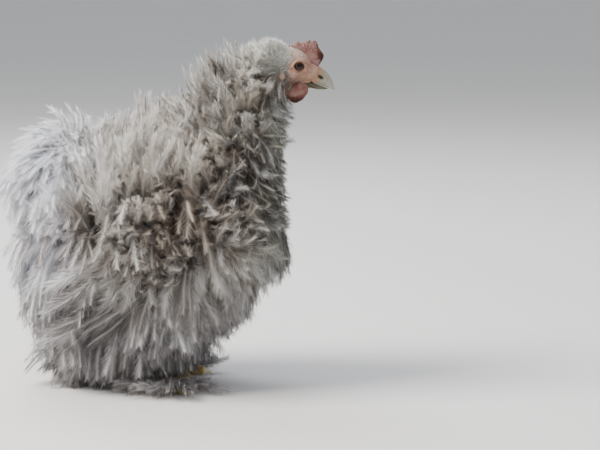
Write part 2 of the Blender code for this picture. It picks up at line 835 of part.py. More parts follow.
def eye(side_name):
    side = SIDES[side_name]
    body = eyeball(side).mesh(f"eye_{side_name}")
    paint([body], body.name, EYE_BROWN, 0.1)
    return finish(body, mirrored(EYE_CENTRE, side))


def beak_rings(top_root, middle_root, bulge, half_width, upper):
    """Arched sections from the face to the tip, between the mouth line and the outer edge."""
    rings = []
    arc = 8
    for share in (0.0, 0.2, 0.4, 0.6, 0.78, 0.92):
        seam = middle_root.lerp(BEAK_TIP, share)
        edge = top_root.lerp(BEAK_TIP, share) + bulge * math.sin(math.pi * share)
        seam = seam + (edge - seam).normalized() * GAP / 2
        wide = Vector((0, half_width * math.sqrt(1 - share**1.6), 0))
        angles = [math.pi * i / arc for i in range(arc + 1)]
        ring = [seam + wide * math.cos(a) + (edge - seam) * math.sin(a) for a in angles]
        rings.append(ring if upper else ring[::-1])
    return rings


def beak_upper():
    rings = beak_rings(BROW, GAPE, UPPER_BULGE, BEAK_HALF_WIDTH, True)
    body = pointed("beak_upper", rings, BEAK_TIP + BEAK_HOOK)
    cut(body, HEAD.mesh("fit", GAP))
    for side in SIDES.values():
        pit = Egg(mirrored(NOSTRIL, side), NOSTRIL_HALF, 2.0, NOSTRIL_TILT, (6, 8))
        cut(body, pit.mesh("nostril"))
    paint([body], body.name, HORN, 0.4)
    return finish(body, GAPE)


def beak_lower():
    """The lower half, which closes just inside the upper one's edge."""
    rings = beak_rings(CHIN, GAPE + LOWER_SHIFT, LOWER_BULGE, BEAK_HALF_WIDTH * LOWER_NARROW, False)
    seam_left, keel, seam_right = (rings[-1][i] for i in (0, 4, 8))
    tip = keel.lerp((seam_left + seam_right) / 2, 0.5) + Vector((0.0006, 0, 0))
    body = pointed("beak_lower", rings[:-1], tip)
    cut(body, HEAD.mesh("fit", GAP))
    paint([body], body.name, HORN, 0.4)
    return finish(body, GAPE)


def comb():
    """A single comb: a thick blade with low, round points, set along the skull."""
    stations = 25
    rings = []
    lift = Vector((0, 1, 0)).cross(COMB_REAR - COMB_FRONT).normalized()
    for i in range(stations):
        share = i / (stations - 1)
        foot = COMB_REAR.lerp(COMB_FRONT, share) - lift * COMB_ROOT
        wave = abs(math.sin(math.pi * COMB_POINTS * share))
        rise = COMB_HEIGHT * math.sin(math.pi * (0.06 + 0.88 * share)) ** 0.6
        top = foot + lift * (COMB_ROOT + rise * (0.62 + 0.38 * wave)) - Vector((COMB_RAKE, 0, 0)) * share
        wide = Vector((0, COMB_THICK / 2, 0)) * (0.35 + 0.65 * math.sqrt(math.sin(math.pi * share)))
        levels = ((0.0, 1.0), (0.6, 0.8), (0.93, 0.45))
        left = [foot.lerp(top, height) + wide * width for height, width in levels]
        right = [foot.lerp(top, height) - wide * width for height, width in levels]
        rings.append((*right, top, *left[::-1]))
    body = stacked("comb", rings)
    cut(body, HEAD.mesh("fit", GAP))
    cut(body, beak_hull())
    paint([body], body.name, COMB_RED, 0.5)
    return finish(body, COMB_REAR)


def beak_hull():
    """The upper beak again, a little larger, for the comb's front to be cut to."""
    room = Vector((GAP * 2, 0, GAP * 2))
    rings = beak_rings(BROW + Vector((0, 0, GAP)), GAPE, UPPER_BULGE + room, BEAK_HALF_WIDTH + GAP, True)
    return pointed("fit", rings, BEAK_TIP)


def lappet(kind, egg, side_name, colour):
    """A wattle or an earlobe: a flat drop of skin that hangs against the head."""
    body = egg.mesh(f"{kind}_{side_name}")
    cut(body, HEAD.mesh("fit", GAP))
    paint([body], body.name, colour, 0.5)
    return finish(body, egg.centre + Vector((0, 0, egg.half.z)))


def thigh(side_name):
    """The feathered drumstick, from the belly to above the hock."""
    side = SIDES[side_name]
    top = mirrored(THIGH_TOP, side)
    hock = mirrored(HOCK, side)
    shares = (0.0, 0.25, 0.5, 0.75, 1.0)
    radii = [THIGH_RADII[0] + (THIGH_RADII[1] - THIGH_RADII[0]) * share for share in shares]
    path = [top.lerp(hock, share) for share in shares]
    body = tube(f"thigh_{side_name}", path, radii, 12)
    cut(body, TORSO.mesh("fit", GAP))
    cut_below(body, at_height(THIGH_CUT_Z))
    boundaries = (
        clear_of_egg(TORSO, TORSO_ROOM),
        clear_of_plane(at_height(SHANK_CUT_Z + ROOT_ROOM / 2), 1),
        clear_of_thigh(-1),
        clear_of_plane((Vector(), Vector((0, side, 0))), 1),
    )
    plumage = new_pieces()
    for i in range(THIGH_PLUMES):
        angle = math.tau * i / THIGH_PLUMES
        normal = Vector((math.cos(angle), math.sin(angle), 0))
        root = path[3] + normal * radii[3] + Vector((0, 0, 0.003 * (i % 2)))
        vane(root, normal, Vector((0, 0, -1)), HOCK_FLUFF, boundaries, plumage)
    plume_over(body, plumage, CREAM)
    return finish(body, top)


def shank(side_name):
    side = SIDES[side_name]
    hock = mirrored(HOCK, side)
    ankle = mirrored(ANKLE, side)
    start = hock + Vector((0, 0, 0.006))
    path = [start.lerp(ankle, share) for share in (0.0, 0.35, 0.7, 1.0)]
    thick, thin = SHANK_RADII
    body = tube(f"shank_{side_name}", path, (thick, thin, thin, thick), 12)
    cut_above(body, at_height(THIGH_CUT_Z))
    cut_below(body, at_height(SHANK_CUT_Z))
    paint([body], body.name, SHANK_YELLOW, 0.5)
    return finish(body, hock)


def toe_line(side, heading, length):
    """A toe's path from the ankle to the root of its claw, in three joints."""
    ankle = mirrored(ANKLE, side)
    way = Vector((math.cos(heading), math.sin(heading) * side, 0))
    start = Vector((ankle.x, ankle.y, TOE_RISE))
    knuckle = start + way * (length * 0.45) - Vector((0, 0, 0.0026))
    end = start + way * length - Vector((0, 0, 0.0034))
    return [start, knuckle, start.lerp(end, 0.75) - Vector((0, 0, 0.0002)), end], way


def foot(side_name):
    """Four toes, flat underneath, with a row of feathers along the outer one."""
    side = SIDES[side_name]
    ankle = mirrored(ANKLE, side)
    knob = Egg(Vector((ankle.x, ankle.y, 0.0085)), Vector((0.0085, 0.0075, 0.0088)))
    body = knob.mesh(f"foot_{side_name}")
    toes = new_pieces()
    for _, heading, length in TOES:
        path, _ = toe_line(side, heading, length)
        tube("toe", path, [TOE_RADIUS * share for share in (1.15, 1.0, 0.95, 0.72)], 8, toes)
    paint([body, *toes.objects], body.name, SHANK_YELLOW, 0.5)
    fuse(body, toes)
    plumage = new_pieces()
    _, heading, length = TOES[2]
    path, _ = toe_line(side, heading, length)
    for i in range(FOOT_PLUMES):
        share = i / (FOOT_PLUMES - 1)
        angle = math.radians(62 + 80 * share)
        root = path[0].lerp(path[-1], 0.5 * (1 - share)) + Vector((0, 0, 0.0005 * (i % 2)))
        foot_vane(root, Vector((math.cos(angle), math.sin(angle) * side, 0)), side, plumage)
    paint(plumage.objects, f"foot_feathers_{side_name}", CREAM)
    fuse(body, plumage)
    cut_below(body, at_height(-GAP / 2))
    cut_above(body, at_height(SHANK_CUT_Z))
    return finish(body, ankle)


def foot_vane(root, outwards, side, collection):
    """A foot feather: it lies nearly flat on the floor, bent backwards, so its width is level."""
    back = Vector((-abs(outwards.y), outwards.x * side, 0))
    length = FOOT_FEATHER.length * dice.uniform(0.85, 1.15)
    path = [root]
    for step in range(VANE_STEPS):
        share = (step + 0.5) / VANE_STEPS
        heading = (outwards + back * 0.35 * share - Vector((0, 0, 0.12))).normalized()
        point = path[-1] + heading * (length / VANE_STEPS)
        point.z = min(max(point.z, FOOT_FEATHER_LEVELS[0]), FOOT_FEATHER_LEVELS[1])
        path.append(point)
    rings = []
    for step in range(VANE_STEPS):
        along = (path[step + 1] - path[max(step - 1, 0)]).normalized()
        across = Vector((0, 0, 1)).cross(along).normalized()
        half = across * (FOOT_FEATHER.width / 2 * VANE_OUTLINE[step])
        ridge = Vector((0, 0, FOOT_FEATHER.thick))
        rings.append((path[step] - half, path[step] + half, path[step] + ridge))
    pointed("foot_vane", rings, path[-1], collection)


def claw(side_name, toe_name, heading, length):
    path, way = toe_line(SIDES[side_name], heading, length)
    start = path[-1] + way * GAP * 2 + Vector((0, 0, 0.0002))
    rings = []
    for share, size in ((0.0, 1.0), (0.35, 0.85), (0.7, 0.5)):
        centre = start + way * (CLAW_LENGTH * share) - Vector((0, 0, 0.0018 * share**2))
        rings.append(ring_at(centre, way, CLAW_RADIUS * size, 8))
    tip = start + way * CLAW_LENGTH - Vector((0, 0, 0.0030))
    body = pointed(f"claw_{side_name}_{toe_name}", rings, tip)
    paint([body], body.name, HORN, 0.4)
    return finish(body, start)


def build():
    for old in list(bpy.data.objects):
        bpy.data.objects.remove(old)
    parts = [torso(), neck(), tail(), head(), beak_upper(), beak_lower(), comb()]
    for name, side in SIDES.items():
        parts.append(wing(name))
        parts.append(eye(name))
        parts.append(lappet("wattle", lobe(WATTLE_CENTRE, WATTLE_HALF, side), name, COMB_RED))
        parts.append(lappet("earlobe", lobe(EARLOBE_CENTRE, EARLOBE_HALF, side), name, FACE_RED))
        parts.append(thigh(name))
        parts.append(shank(name))
        parts.append(foot(name))
        parts += [claw(name, *toe) for toe in TOES]
    hen = bpy.data.objects.new("hen", None)
    bpy.context.scene.collection.objects.link(hen)
    hen.location = OUTLINE_SHIFT
    for part in parts:
        part.parent = hen


build()
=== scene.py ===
"""A frizzled pekin bantam hen: her skin, plumage, face and legs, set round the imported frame.

Metres, +Z up. Every place is given as the model's own source gives it, and SHIFT moves it to
the frame, whose origin lies on the floor under the middle of the hen's outline.
"""

import math
import random
from dataclasses import dataclass, field
from typing import NamedTuple

import bmesh
import bpy
import numpy as np
from mathutils import Matrix, Vector, noise
from mathutils.bvhtree import BVHTree


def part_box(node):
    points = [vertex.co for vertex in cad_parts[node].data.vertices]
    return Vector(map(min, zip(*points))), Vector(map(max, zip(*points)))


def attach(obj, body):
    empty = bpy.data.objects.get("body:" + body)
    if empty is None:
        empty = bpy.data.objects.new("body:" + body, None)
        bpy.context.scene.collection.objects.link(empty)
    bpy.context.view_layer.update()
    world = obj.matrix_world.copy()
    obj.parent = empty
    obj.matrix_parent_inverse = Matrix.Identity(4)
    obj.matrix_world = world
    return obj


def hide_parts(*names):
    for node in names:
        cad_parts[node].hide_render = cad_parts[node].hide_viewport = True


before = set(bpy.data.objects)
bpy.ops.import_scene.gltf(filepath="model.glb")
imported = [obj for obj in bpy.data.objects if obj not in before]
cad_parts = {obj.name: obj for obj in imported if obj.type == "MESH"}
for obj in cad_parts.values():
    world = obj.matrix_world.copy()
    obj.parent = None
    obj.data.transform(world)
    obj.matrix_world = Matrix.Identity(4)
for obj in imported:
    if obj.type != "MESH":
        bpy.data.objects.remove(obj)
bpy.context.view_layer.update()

SEED = 23
dice = random.Random(SEED)
vary = dice.uniform
chance = dice.random
# The noise that bends feathers into locks starts from the clock unless it is given a seed
LOCK_SEED = 3
noise.seed_set(LOCK_SEED)

SIDES = {"left": 1.0, "right": -1.0}
EYE_CENTRE = Vector((0.1040, 0.0086, 0.2492))


def middle_of(node):
    low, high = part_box(node)
    return (low + high) / 2


SHIFT = (middle_of("eye_left") + middle_of("eye_right")) / 2 - Vector((EYE_CENTRE.x, 0, EYE_CENTRE.z))

# Sizes of the body, as in the frame's own source
TORSO_CENTRE = Vector((-0.016, 0.0, 0.105))
TORSO_HALF = Vector((0.089, 0.060, 0.066))
NECK_BASE = Vector((0.050, 0.0, 0.146))
NECK_BEND = Vector((0.063, 0.0, 0.196))
NECK_TOP = Vector((0.085, 0.0, 0.243))
NECK_RADII = (0.0405, 0.0215, 0.0125)
HEAD_CENTRE = Vector((0.098, 0.0, 0.2485))
HEAD_HALF = Vector((0.0205, 0.0122, 0.0150))
HEAD_PITCH = math.radians(14)
TAIL_CENTRE = Vector((-0.072, 0.0, 0.156))
TAIL_HALF = Vector((0.034, 0.038, 0.034))
TAIL_PITCH = math.radians(-40)
TAIL_AXIS = Vector((-0.70, 0.0, 0.71)).normalized()
WING_CENTRE = Vector((-0.018, 0.0, 0.108))
WING_SLOPE = math.radians(36)
WING_HALF = (0.056, 0.028)
WING_EDGE = 0.003
WING_SWELL = 0.009
# How deep the wing's inner side lies in the flank
WING_SUNK = 0.002
THIGH_TOP = Vector((-0.008, 0.026, 0.062))
HOCK = Vector((-0.017, 0.028, 0.027))
ANKLE = Vector((-0.008, 0.030, 0.012))
THIGH_RADII = (0.0135, 0.0062)
EYE_RADIUS = 0.0041
PUPIL_RADIUS = 0.0020
IRIS_RADIUS = 0.0028
GAPE = Vector((0.1125, 0.0, 0.2375))
BEAK_TIP = Vector((0.1320, 0.0, 0.2308))
BROW = Vector((0.1165, 0.0, 0.2500))
CHIN = Vector((0.1120, 0.0, 0.2322))
BEAK_HALF_WIDTH = 0.0056
NOSTRIL = Vector((0.1212, 0.0039, 0.2405))
NOSTRIL_TURN = math.radians(-35)
COMB_REAR = Vector((0.0985, 0.0, 0.2615))
COMB_FRONT = Vector((0.1210, 0.0, 0.2490))
COMB_POINTS = 5
COMB_THICK = 0.0034
WATTLE_CENTRE = Vector((0.1037, 0.0068, 0.2290))
WATTLE_HALF = Vector((0.0064, 0.0018, 0.0090))
EARLOBE_CENTRE = Vector((0.0920, 0.0106, 0.2425))
EARLOBE_HALF = Vector((0.0026, 0.0015, 0.0040))
TOES = (  # name, heading off the middle line (outwards is positive), length from the ankle
    ("middle", math.radians(4), 0.036),
    ("inner", math.radians(-34), 0.028),
    ("outer", math.radians(38), 0.030),
    ("hind", math.radians(176), 0.017),
)
TOE_RISE = 0.0070
TOE_RADIUS = 0.0044
SHANK_RADIUS = 0.0058
CLAW_LENGTH = 0.0085
CLAW_RADIUS = 0.0021

# How near the floor a feather or a toe may come
FLOOR_GAP = 0.0003

# How deep the skin lies inside the solids
COAT_DEPTH = 0.006

# How finely a skin is rebuilt where its shapes meet
BODY_CELL = 0.0022
HEAD_CELL = 0.00042
LEG_CELL = 0.0006


# Small tools

NODE_FAMILIES = ("ShaderNode", "GeometryNode", "FunctionNode", "Node")


def add(tree, kind, inputs=None, out=0, **settings):
    """Adds a node with its settings, values and links; gives an output, or the node if out is None."""
    family = next(name for name in NODE_FAMILIES if hasattr(bpy.types, name + kind))
    node = tree.nodes.new(family + kind)
    for name, value in settings.items():
        setattr(node, name, value)
    for key, value in (inputs or {}).items():
        if isinstance(value, bpy.types.NodeSocket):
            tree.links.new(value, node.inputs[key])
        else:
            node.inputs[key].default_value = value
    return node if out is None else node.outputs[out]


def srgb(code):
    """An sRGB hex colour as linear light."""
    channels = (int(code[i : i + 2], 16) / 255 for i in (0, 2, 4))
    return (*(c / 12.92 if c <= 0.04045 else ((c + 0.055) / 1.055) ** 2.4 for c in channels), 1.0)


def mirrored(point, side):
    """A place given for the left side, on the left (1) or on the right (-1)."""
    return Vector((point.x, point.y * side, point.z))


def mixed(a, b, share):
    return a + (b - a) * share


def between(value, low, high):
    """How far a value is from low to high, from 0 to 1."""
    return max(min((value - low) / (high - low), 1), 0)


def bezier(a, b, c, t):
    return a * (1 - t) ** 2 + b * (2 * t * (1 - t)) + c * t**2


def new_object(name, data):
    made = bpy.data.objects.new(name, data)
    bpy.context.scene.collection.objects.link(made)
    return made


def solid(name, points, faces):
    """A smooth object whose faces point outwards."""
    mesh = bpy.data.meshes.new(name)
    mesh.from_pydata([tuple(p) for p in points], [], faces)
    bm = bmesh.new()
    bm.from_mesh(mesh)
    bmesh.ops.recalc_face_normals(bm, faces=bm.faces)
    if bm.calc_volume(signed=True) < 0:
        bmesh.ops.reverse_faces(bm, faces=bm.faces)
    bm.to_mesh(mesh)
    bm.free()
    mesh.shade_smooth()
    return new_object(name, mesh)


def lofted(name, rings):
    """A closed solid through rings of equally many points, with a pole at each end."""
    count = len(rings[0])
    points = [point for ring in rings for point in ring]
    first_pole = sum(rings[0], Vector()) / count
    last_pole = sum(rings[-1], Vector()) / count
    points += [first_pole, last_pole]
    faces = []
    for i in range(count):
        after = (i + 1) % count
        faces.append((len(points) - 2, after, i))
        last = (len(rings) - 1) * count
        faces.append((len(points) - 1, last + i, last + after))
        for start in range(0, last, count):
            faces.append((start + i, start + after, start + count + after, start + count + i))
    return solid(name, points, faces)


def ring_at(centre, along, radius, segments, width=1.0):
    """Points round a line that runs in the XZ plane or near it, from its upper side on."""
    side = Vector((0, 1, 0))
    up = along.cross(side).normalized()
    side = up.cross(along).normalized()
    angles = [math.tau * i / segments for i in range(segments)]
    return [centre + up * math.cos(a) * radius + side * math.sin(a) * radius * width for a in angles]


def tube(name, steps, station, segments, width=1.0, fit=Vector):
    """A closed solid along a line: station(step) gives a ring's centre, its way and its radius."""
    rings = [ring_at(*station(step), segments, width) for step in range(steps + 1)]
    return lofted(name, [[fit(point) for point in ring] for ring in rings])


def joined(name, parts):
    """One object from several, in its own place."""
    bm = bmesh.new()
    for part in parts:
        bm.from_mesh(part.data)
        bpy.data.objects.remove(part)
    mesh = bpy.data.meshes.new(name)
    bm.to_mesh(mesh)
    bm.free()
    mesh.shade_smooth()
    return new_object(name, mesh)


def applied(made):
    """The same object with its modifiers applied."""
    bpy.context.view_layer.update()
    graph = bpy.context.evaluated_depsgraph_get()
    mesh = bpy.data.meshes.new_from_object(made.evaluated_get(graph))
    made.modifiers.clear()
    made.data = mesh
    return made


def welded(name, parts, voxel, smoothing):
    """One skin over several closed shapes: their union, rebuilt in small cells and smoothed."""
    made = joined(name, parts)
    remesh = made.modifiers.new("weld", "REMESH")
    remesh.mode = "VOXEL"
    remesh.voxel_size = voxel
    smooth = made.modifiers.new("smooth", "SMOOTH")
    smooth.factor = 0.5
    smooth.iterations = smoothing
    applied(made)
    made.data.shade_smooth()
    return made


def moved_vertices(made, shift_of):
    """Moves each vertex along its normal by what shift_of(point) says."""
    normals = [v.normal.copy() for v in made.data.vertices]
    for v, normal in zip(made.data.vertices, normals):
        v.co += normal * shift_of(v.co)
    made.data.update()


def grain(point, size, seed=0.0):
    """Smooth noise from -1 to 1 with bumps of a real size in metres."""
    return noise.noise(point / size + Vector((seed, seed, seed)))


class Egg:
    """A superellipsoid with a centre, half sizes, squareness and pitch about the Y axis."""

    def __init__(self, centre, half, square=2.0, pitch=0.0):
        self.centre = centre
        self.half = half
        self.square = square
        self.turn = Matrix.Rotation(pitch, 3, "Y")

    def level(self, point):
        """1 on the surface, less inside."""
        local = self.turn.transposed() @ (point - self.centre)
        total = sum(abs(local[i] / self.half[i]) ** self.square for i in range(3))
        return total ** (1 / self.square)

    def point(self, heading):
        """Where a ray from the centre leaves the surface."""
        return self.centre + heading / self.level(self.centre + heading)

    def normal(self, point):
        local = self.turn.transposed() @ (point - self.centre)
        slope = Vector(
            math.copysign(abs(local[i] / self.half[i]) ** (self.square - 1), local[i])
            / self.half[i]
            for i in range(3)
        )
        return (self.turn @ slope).normalized()

    def solid(self, name, rings=24, segments=32):
        rows = []
        for ring in range(1, rings):
            tilt = math.pi * ring / rings
            row = []
            for segment in range(segments):
                angle = math.tau * segment / segments
                around = (math.cos(angle), math.sin(angle))
                heading = Vector((math.cos(tilt), math.sin(tilt) * around[0], math.sin(tilt) * around[1]))
                stretched = Vector(heading[i] * self.half[i] for i in range(3))
                row.append(self.point(self.turn @ stretched))
            rows.append(row)
        return lofted(name, rows)


def shrunk(half, depth):
    return half - Vector((depth, depth, depth))


TORSO = Egg(TORSO_CENTRE, shrunk(TORSO_HALF, COAT_DEPTH), 2.5)
TAIL = Egg(TAIL_CENTRE, shrunk(TAIL_HALF, COAT_DEPTH), 2.0, TAIL_PITCH)
HEAD = Egg(HEAD_CENTRE, HEAD_HALF, 2.15, HEAD_PITCH)


def neck_centre(t):
    return bezier(NECK_BASE, NECK_BEND, NECK_TOP, t)


def neck_radius(t):
    low, middle, high = NECK_RADII
    return bezier(low, middle, high, t)


def neck_along(t):
    step = 0.02
    return (neck_centre(t + step) - neck_centre(t - step)).normalized()


def wing_place(point):
    """Where a point lies on a wing: along it towards the tip, and across it upwards."""
    offset = point - WING_CENTRE
    along = -offset.x * math.cos(WING_SLOPE) - offset.z * math.sin(WING_SLOPE)
    across = -offset.x * math.sin(WING_SLOPE) + offset.z * math.cos(WING_SLOPE)
    return along, across


def wing_point(along, across):
    x = -along * math.cos(WING_SLOPE) - across * math.sin(WING_SLOPE)
    z = -along * math.sin(WING_SLOPE) + across * math.cos(WING_SLOPE)
    return WING_CENTRE + Vector((x, 0, z))


def flank_y(place):
    """How far out the torso's side is at a place seen from the side."""
    offset = place - TORSO_CENTRE
    used = sum(abs(offset[i] / TORSO.half[i]) ** TORSO.square for i in (0, 2))
    return TORSO.half.y * max(1 - used, 0.02) ** (1 / TORSO.square)


def wing_thickness(along, across):
    share = min(math.hypot(along / WING_HALF[0], across / WING_HALF[1]), 1)
    return WING_SWELL * math.sqrt(1 - share**2.5) + WING_EDGE


# Materials

MULTIPLIED = {"data_type": "RGBA", "blend_type": "MULTIPLY"}


def new_finish(name):
    """A new finish: its material, its nodes, and the place that its patterns lie by."""
    material = bpy.data.materials.new(name)
    material.use_nodes = True
    return material, material.node_tree, add(material.node_tree, "TexCoord", out="Object")


def finished(material, colour, relief=None, **values):
    """The material with its colour, its shader's values, and its relief's height, depth and strength."""
    tree = material.node_tree
    shader = tree.nodes["Principled BSDF"]
    tree.links.new(colour, shader.inputs["Base Color"])
    if relief:
        bump = add(tree, "Bump", dict(zip(("Height", "Distance", "Strength"), relief)))
        tree.links.new(bump, shader.inputs["Normal"])
    for name, value in values.items():
        shader.inputs[name.replace("_", " ")].default_value = value
    return material


def washed(tree, colour, *washes):
    """A colour under washes of others: each comes in as its measure goes from start to end."""
    for measure, start, end, strength, over in washes:
        share = add(tree, "MapRange", {0: measure, 1: start, 2: end, 4: strength})
        over = srgb(over) if isinstance(over, str) else over
        colour = add(tree, "Mix", {0: share, 6: colour, 7: over}, 2, data_type="RGBA")
    return colour


def grains(size, detail=3.0):
    """The inputs of a noise whose bumps have a real size in metres."""
    return {"Scale": 1 / size, "Detail": detail, "Roughness": 0.55}


def folded_over(tree, place):
    """A place on the hen's left half, for a mark that both halves have."""
    middle = add(tree, "VectorMath", {0: place, 1: (0, -SHIFT.y, 0)})
    return add(tree, "VectorMath", {0: middle}, operation="ABSOLUTE")


def plumage_zone(tree, place):
    """The plumage's colour by place: warm grey cream in front, bluish white behind, with painted shade low
    down and in most of its darker patches.
    """
    split = add(tree, "SeparateXYZ", {0: place}, None).outputs
    wobble = add(tree, "TexNoise", {"Vector": place, **grains(0.030, 2.0)})
    shifted = add(tree, "Math", {0: wobble, 1: 0.030, 2: split["X"]}, operation="MULTIPLY_ADD")
    ramp = add(tree, "ValToRGB", {0: add(tree, "MapRange", {0: shifted, 1: -0.125, 2: 0.145})}, None)
    stops = {
        0.00: "F3F6FF",
        0.22: "EFF1F9",
        0.36: "E2DFD9",
        0.52: "D8D1C6",
        0.70: "D8D2C6",
        0.85: "DAD9D0",
        1.00: "E4E4DE",
    }
    while len(ramp.color_ramp.elements) < len(stops):
        ramp.color_ramp.elements.new(0.5)
    for element, (share, code) in zip(ramp.color_ramp.elements, stops.items()):
        element.position = share
        element.color = srgb(code)
    # Painted shade: the plumage darkens towards the bottom, where the body shades itself
    colour = washed(tree, ramp.outputs["Color"], (split["Z"], 0.120, 0.040, 1.0, "918D8E"))
    for x, z, half_x, half_z, turn, code in (
        (0.028, 0.137, 0.080, 0.042, 22, "A99C92"),  # shoulder and wing: partly the hen's own brown-grey, partly painted shade
        (-0.056, 0.132, 0.024, 0.044, 8, "A0978E"),  # before the tail: painted shadow of a gap between feathers
        (0.061, 0.178, 0.025, 0.042, -20, "9D9184"),  # side of the neck: painted shade between the strands at its foot
        (0.096, 0.156, 0.024, 0.096, 0, "8F9288"),  # throat and crop: painted shade under the neck
        (-0.060, 0.064, 0.036, 0.034, 0, "938D8A"),  # under the tail: painted shade
        (0.036, 0.230, 0.026, 0.040, -30, "A8A4A1"),  # back of the neck
        (0.076, 0.226, 0.018, 0.016, 0, "B9ADA0"),  # behind the cheek
    ):
        patch = {"Location": (x, 0.0, z), "Rotation": (0.0, -math.radians(turn), 0.0)}
        patch["Scale"] = (half_x, 1000.0, half_z)
        patch = add(tree, "Mapping", {"Vector": place, **patch}, vector_type="TEXTURE")
        away = add(tree, "VectorMath", {0: patch}, "Value", operation="LENGTH")
        away = add(tree, "Math", {0: wobble, 1: 0.8, 2: away}, operation="MULTIPLY_ADD")
        shaded = add(tree, "Mix", {0: 1.0, 6: colour, 7: srgb(code)}, 2, **MULTIPLIED)
        colour = washed(tree, colour, (away, 1.55, 0.75, 1.0, shaded))
    return colour


def feather_finish():
    """Soft contour feathers, grown and preened: matt, with a down-grey base and pale frayed tips."""
    material, tree, place = new_finish("frizzled_feather_soft_vane")
    zone = plumage_zone(tree, place)
    tone, along, reach = (
        add(tree, "Attribute", out="Fac", attribute_name=name) for name in ("tone", "along", "reach")
    )
    split = add(tree, "SeparateXYZ", {0: place}, None).outputs
    down = washed(tree, srgb("9C9188"), (split["X"], -0.050, -0.085, 1.0, "D2D4DB"))
    base = add(tree, "Mix", {0: 1.0, 6: zone, 7: down}, 2, **MULTIPLIED)
    colour = washed(tree, base, (along, 0.10, 0.65, 1.0, zone))
    darker = add(tree, "Mix", {0: 1.0, 6: colour, 7: srgb("A4978B")}, 2, **MULTIPLIED)
    off_shaft = add(tree, "Math", {0: reach}, operation="ABSOLUTE")
    colour = washed(
        tree, colour,
        (tone, 0.35, 0.0, 0.9, darker),
        (tone, 0.6, 1.0, 0.6, "FAF8F5"),
        # Tone below zero turns a feather dark brown; the wing bow and some flights use it partly as painted
        # shade
        (tone, 0.0, -1.0, 1.0, "58453B"),
        # Painted highlight: paler along the middle of each feather, where the shaft catches the light
        (off_shaft, 0.30, 0.0, 0.45, "F4F0E8"),
    )
    return finished(material, colour, Roughness=0.72, IOR=1.54, Sheen_Weight=0.25, Sheen_Roughness=0.45)


def skin_finish():
    """Thin bare poultry skin, warm and slightly waxy; under the coat it takes the plumage's colour,
    darkened as painted shade between the feathers.
    """
    material, tree, place = new_finish("bare_poultry_skin_waxy")
    zone = plumage_zone(tree, place)
    split = add(tree, "SeparateXYZ", {0: place}, None).outputs
    blush = add(tree, "TexNoise", {"Vector": place, **grains(0.006)})
    fine = add(tree, "TexNoise", {"Vector": place, **grains(0.0012, 2.0)})
    eye = tuple(EYE_CENTRE + Vector((SHIFT.x, 0, SHIFT.z)))
    from_eye = add(tree, "VectorMath", {0: folded_over(tree, place), 1: eye}, "Value", operation="DISTANCE")
    under = add(tree, "Math", {0: blush, 1: 0.006, 2: split["Z"]}, operation="MULTIPLY_ADD")
    face = washed(
        tree, srgb("B09484"),
        (blush, 0.35, 0.68, 1.0, "97705C"),
        (fine, 0.45, 0.8, 0.35, "BEA694"),
        (from_eye, 0.0056, 0.0046, 0.75, "5E3B2C"),
        (split["X"], SHIFT.x + 0.0995, SHIFT.x + 0.0900, 0.6, "A89486"),
        (split["Z"], 0.2520, 0.2590, 0.7, "BBAAA1"),
        # Painted shade: the face darkens below the cheek, down over the gape's fold and the jaw
        (under, 0.2425, 0.2365, 0.75, "5C4336"),
    )
    # Painted shade: where the coat leaves gaps, the skin shows the plumage's colour darkened, as the shadow
    # between feathers
    shade = add(tree, "Mix", {0: 1.0, 6: zone, 7: srgb("9A9088")}, 2, **MULTIPLIED)
    ahead = add(tree, "MapRange", {0: split["X"], 1: SHIFT.x + 0.084, 2: SHIFT.x + 0.090})
    high = add(tree, "MapRange", {0: split["Z"], 1: 0.222, 2: 0.226})
    bare = add(tree, "Math", {0: ahead, 1: high}, operation="MULTIPLY")
    colour = add(tree, "Mix", {0: bare, 6: shade, 7: face}, 2, data_type="RGBA")
    pores = add(tree, "TexNoise", {"Vector": place, **grains(0.0009)})
    return finished(
        material, colour, (pores, 0.0004, 0.6),
        Roughness=0.52, IOR=1.40, Subsurface_Weight=0.12, Subsurface_Scale=0.004,
    )


def comb_finish(name, pale, red, shadow_red):
    """Thick granular comb skin, full of blood: rose red, with a waxy gloss on its grains."""
    material, tree, place = new_finish(name)
    patches = add(tree, "TexNoise", {"Vector": place, **grains(0.004, 4.0)})
    split = add(tree, "SeparateXYZ", {0: place}, None).outputs
    front = add(tree, "Math", {0: patches, 1: -0.010, 2: split["X"]}, operation="MULTIPLY_ADD")
    low = add(tree, "Math", {0: patches, 1: 0.006, 2: split["Z"]}, operation="MULTIPLY_ADD")
    colour = washed(
        tree, srgb(red),
        (patches, 0.30, 0.70, 1.0, pale),
        # Painted shadow: the comb's front lobe darkens towards the front
        (front, 0.1125, 0.1165, 0.9, shadow_red),
        # Painted shade: darker towards the bottom, the wattle's lower rim in shadow
        (low, 0.2300, 0.2255, 0.9, shadow_red),
    )
    cells = {"Vector": place, "Scale": 1 / 0.0009}
    cells = add(tree, "TexVoronoi", cells, "Distance", feature="SMOOTH_F1")
    height = add(tree, "MapRange", {0: cells, 1: 0.0, 2: 0.8, 3: 1.0, 4: 0.0})
    return finished(
        material, colour, (height, 0.0005, 0.7),
        Roughness=0.42, IOR=1.42, Subsurface_Weight=0.18, Subsurface_Scale=0.003,
    )


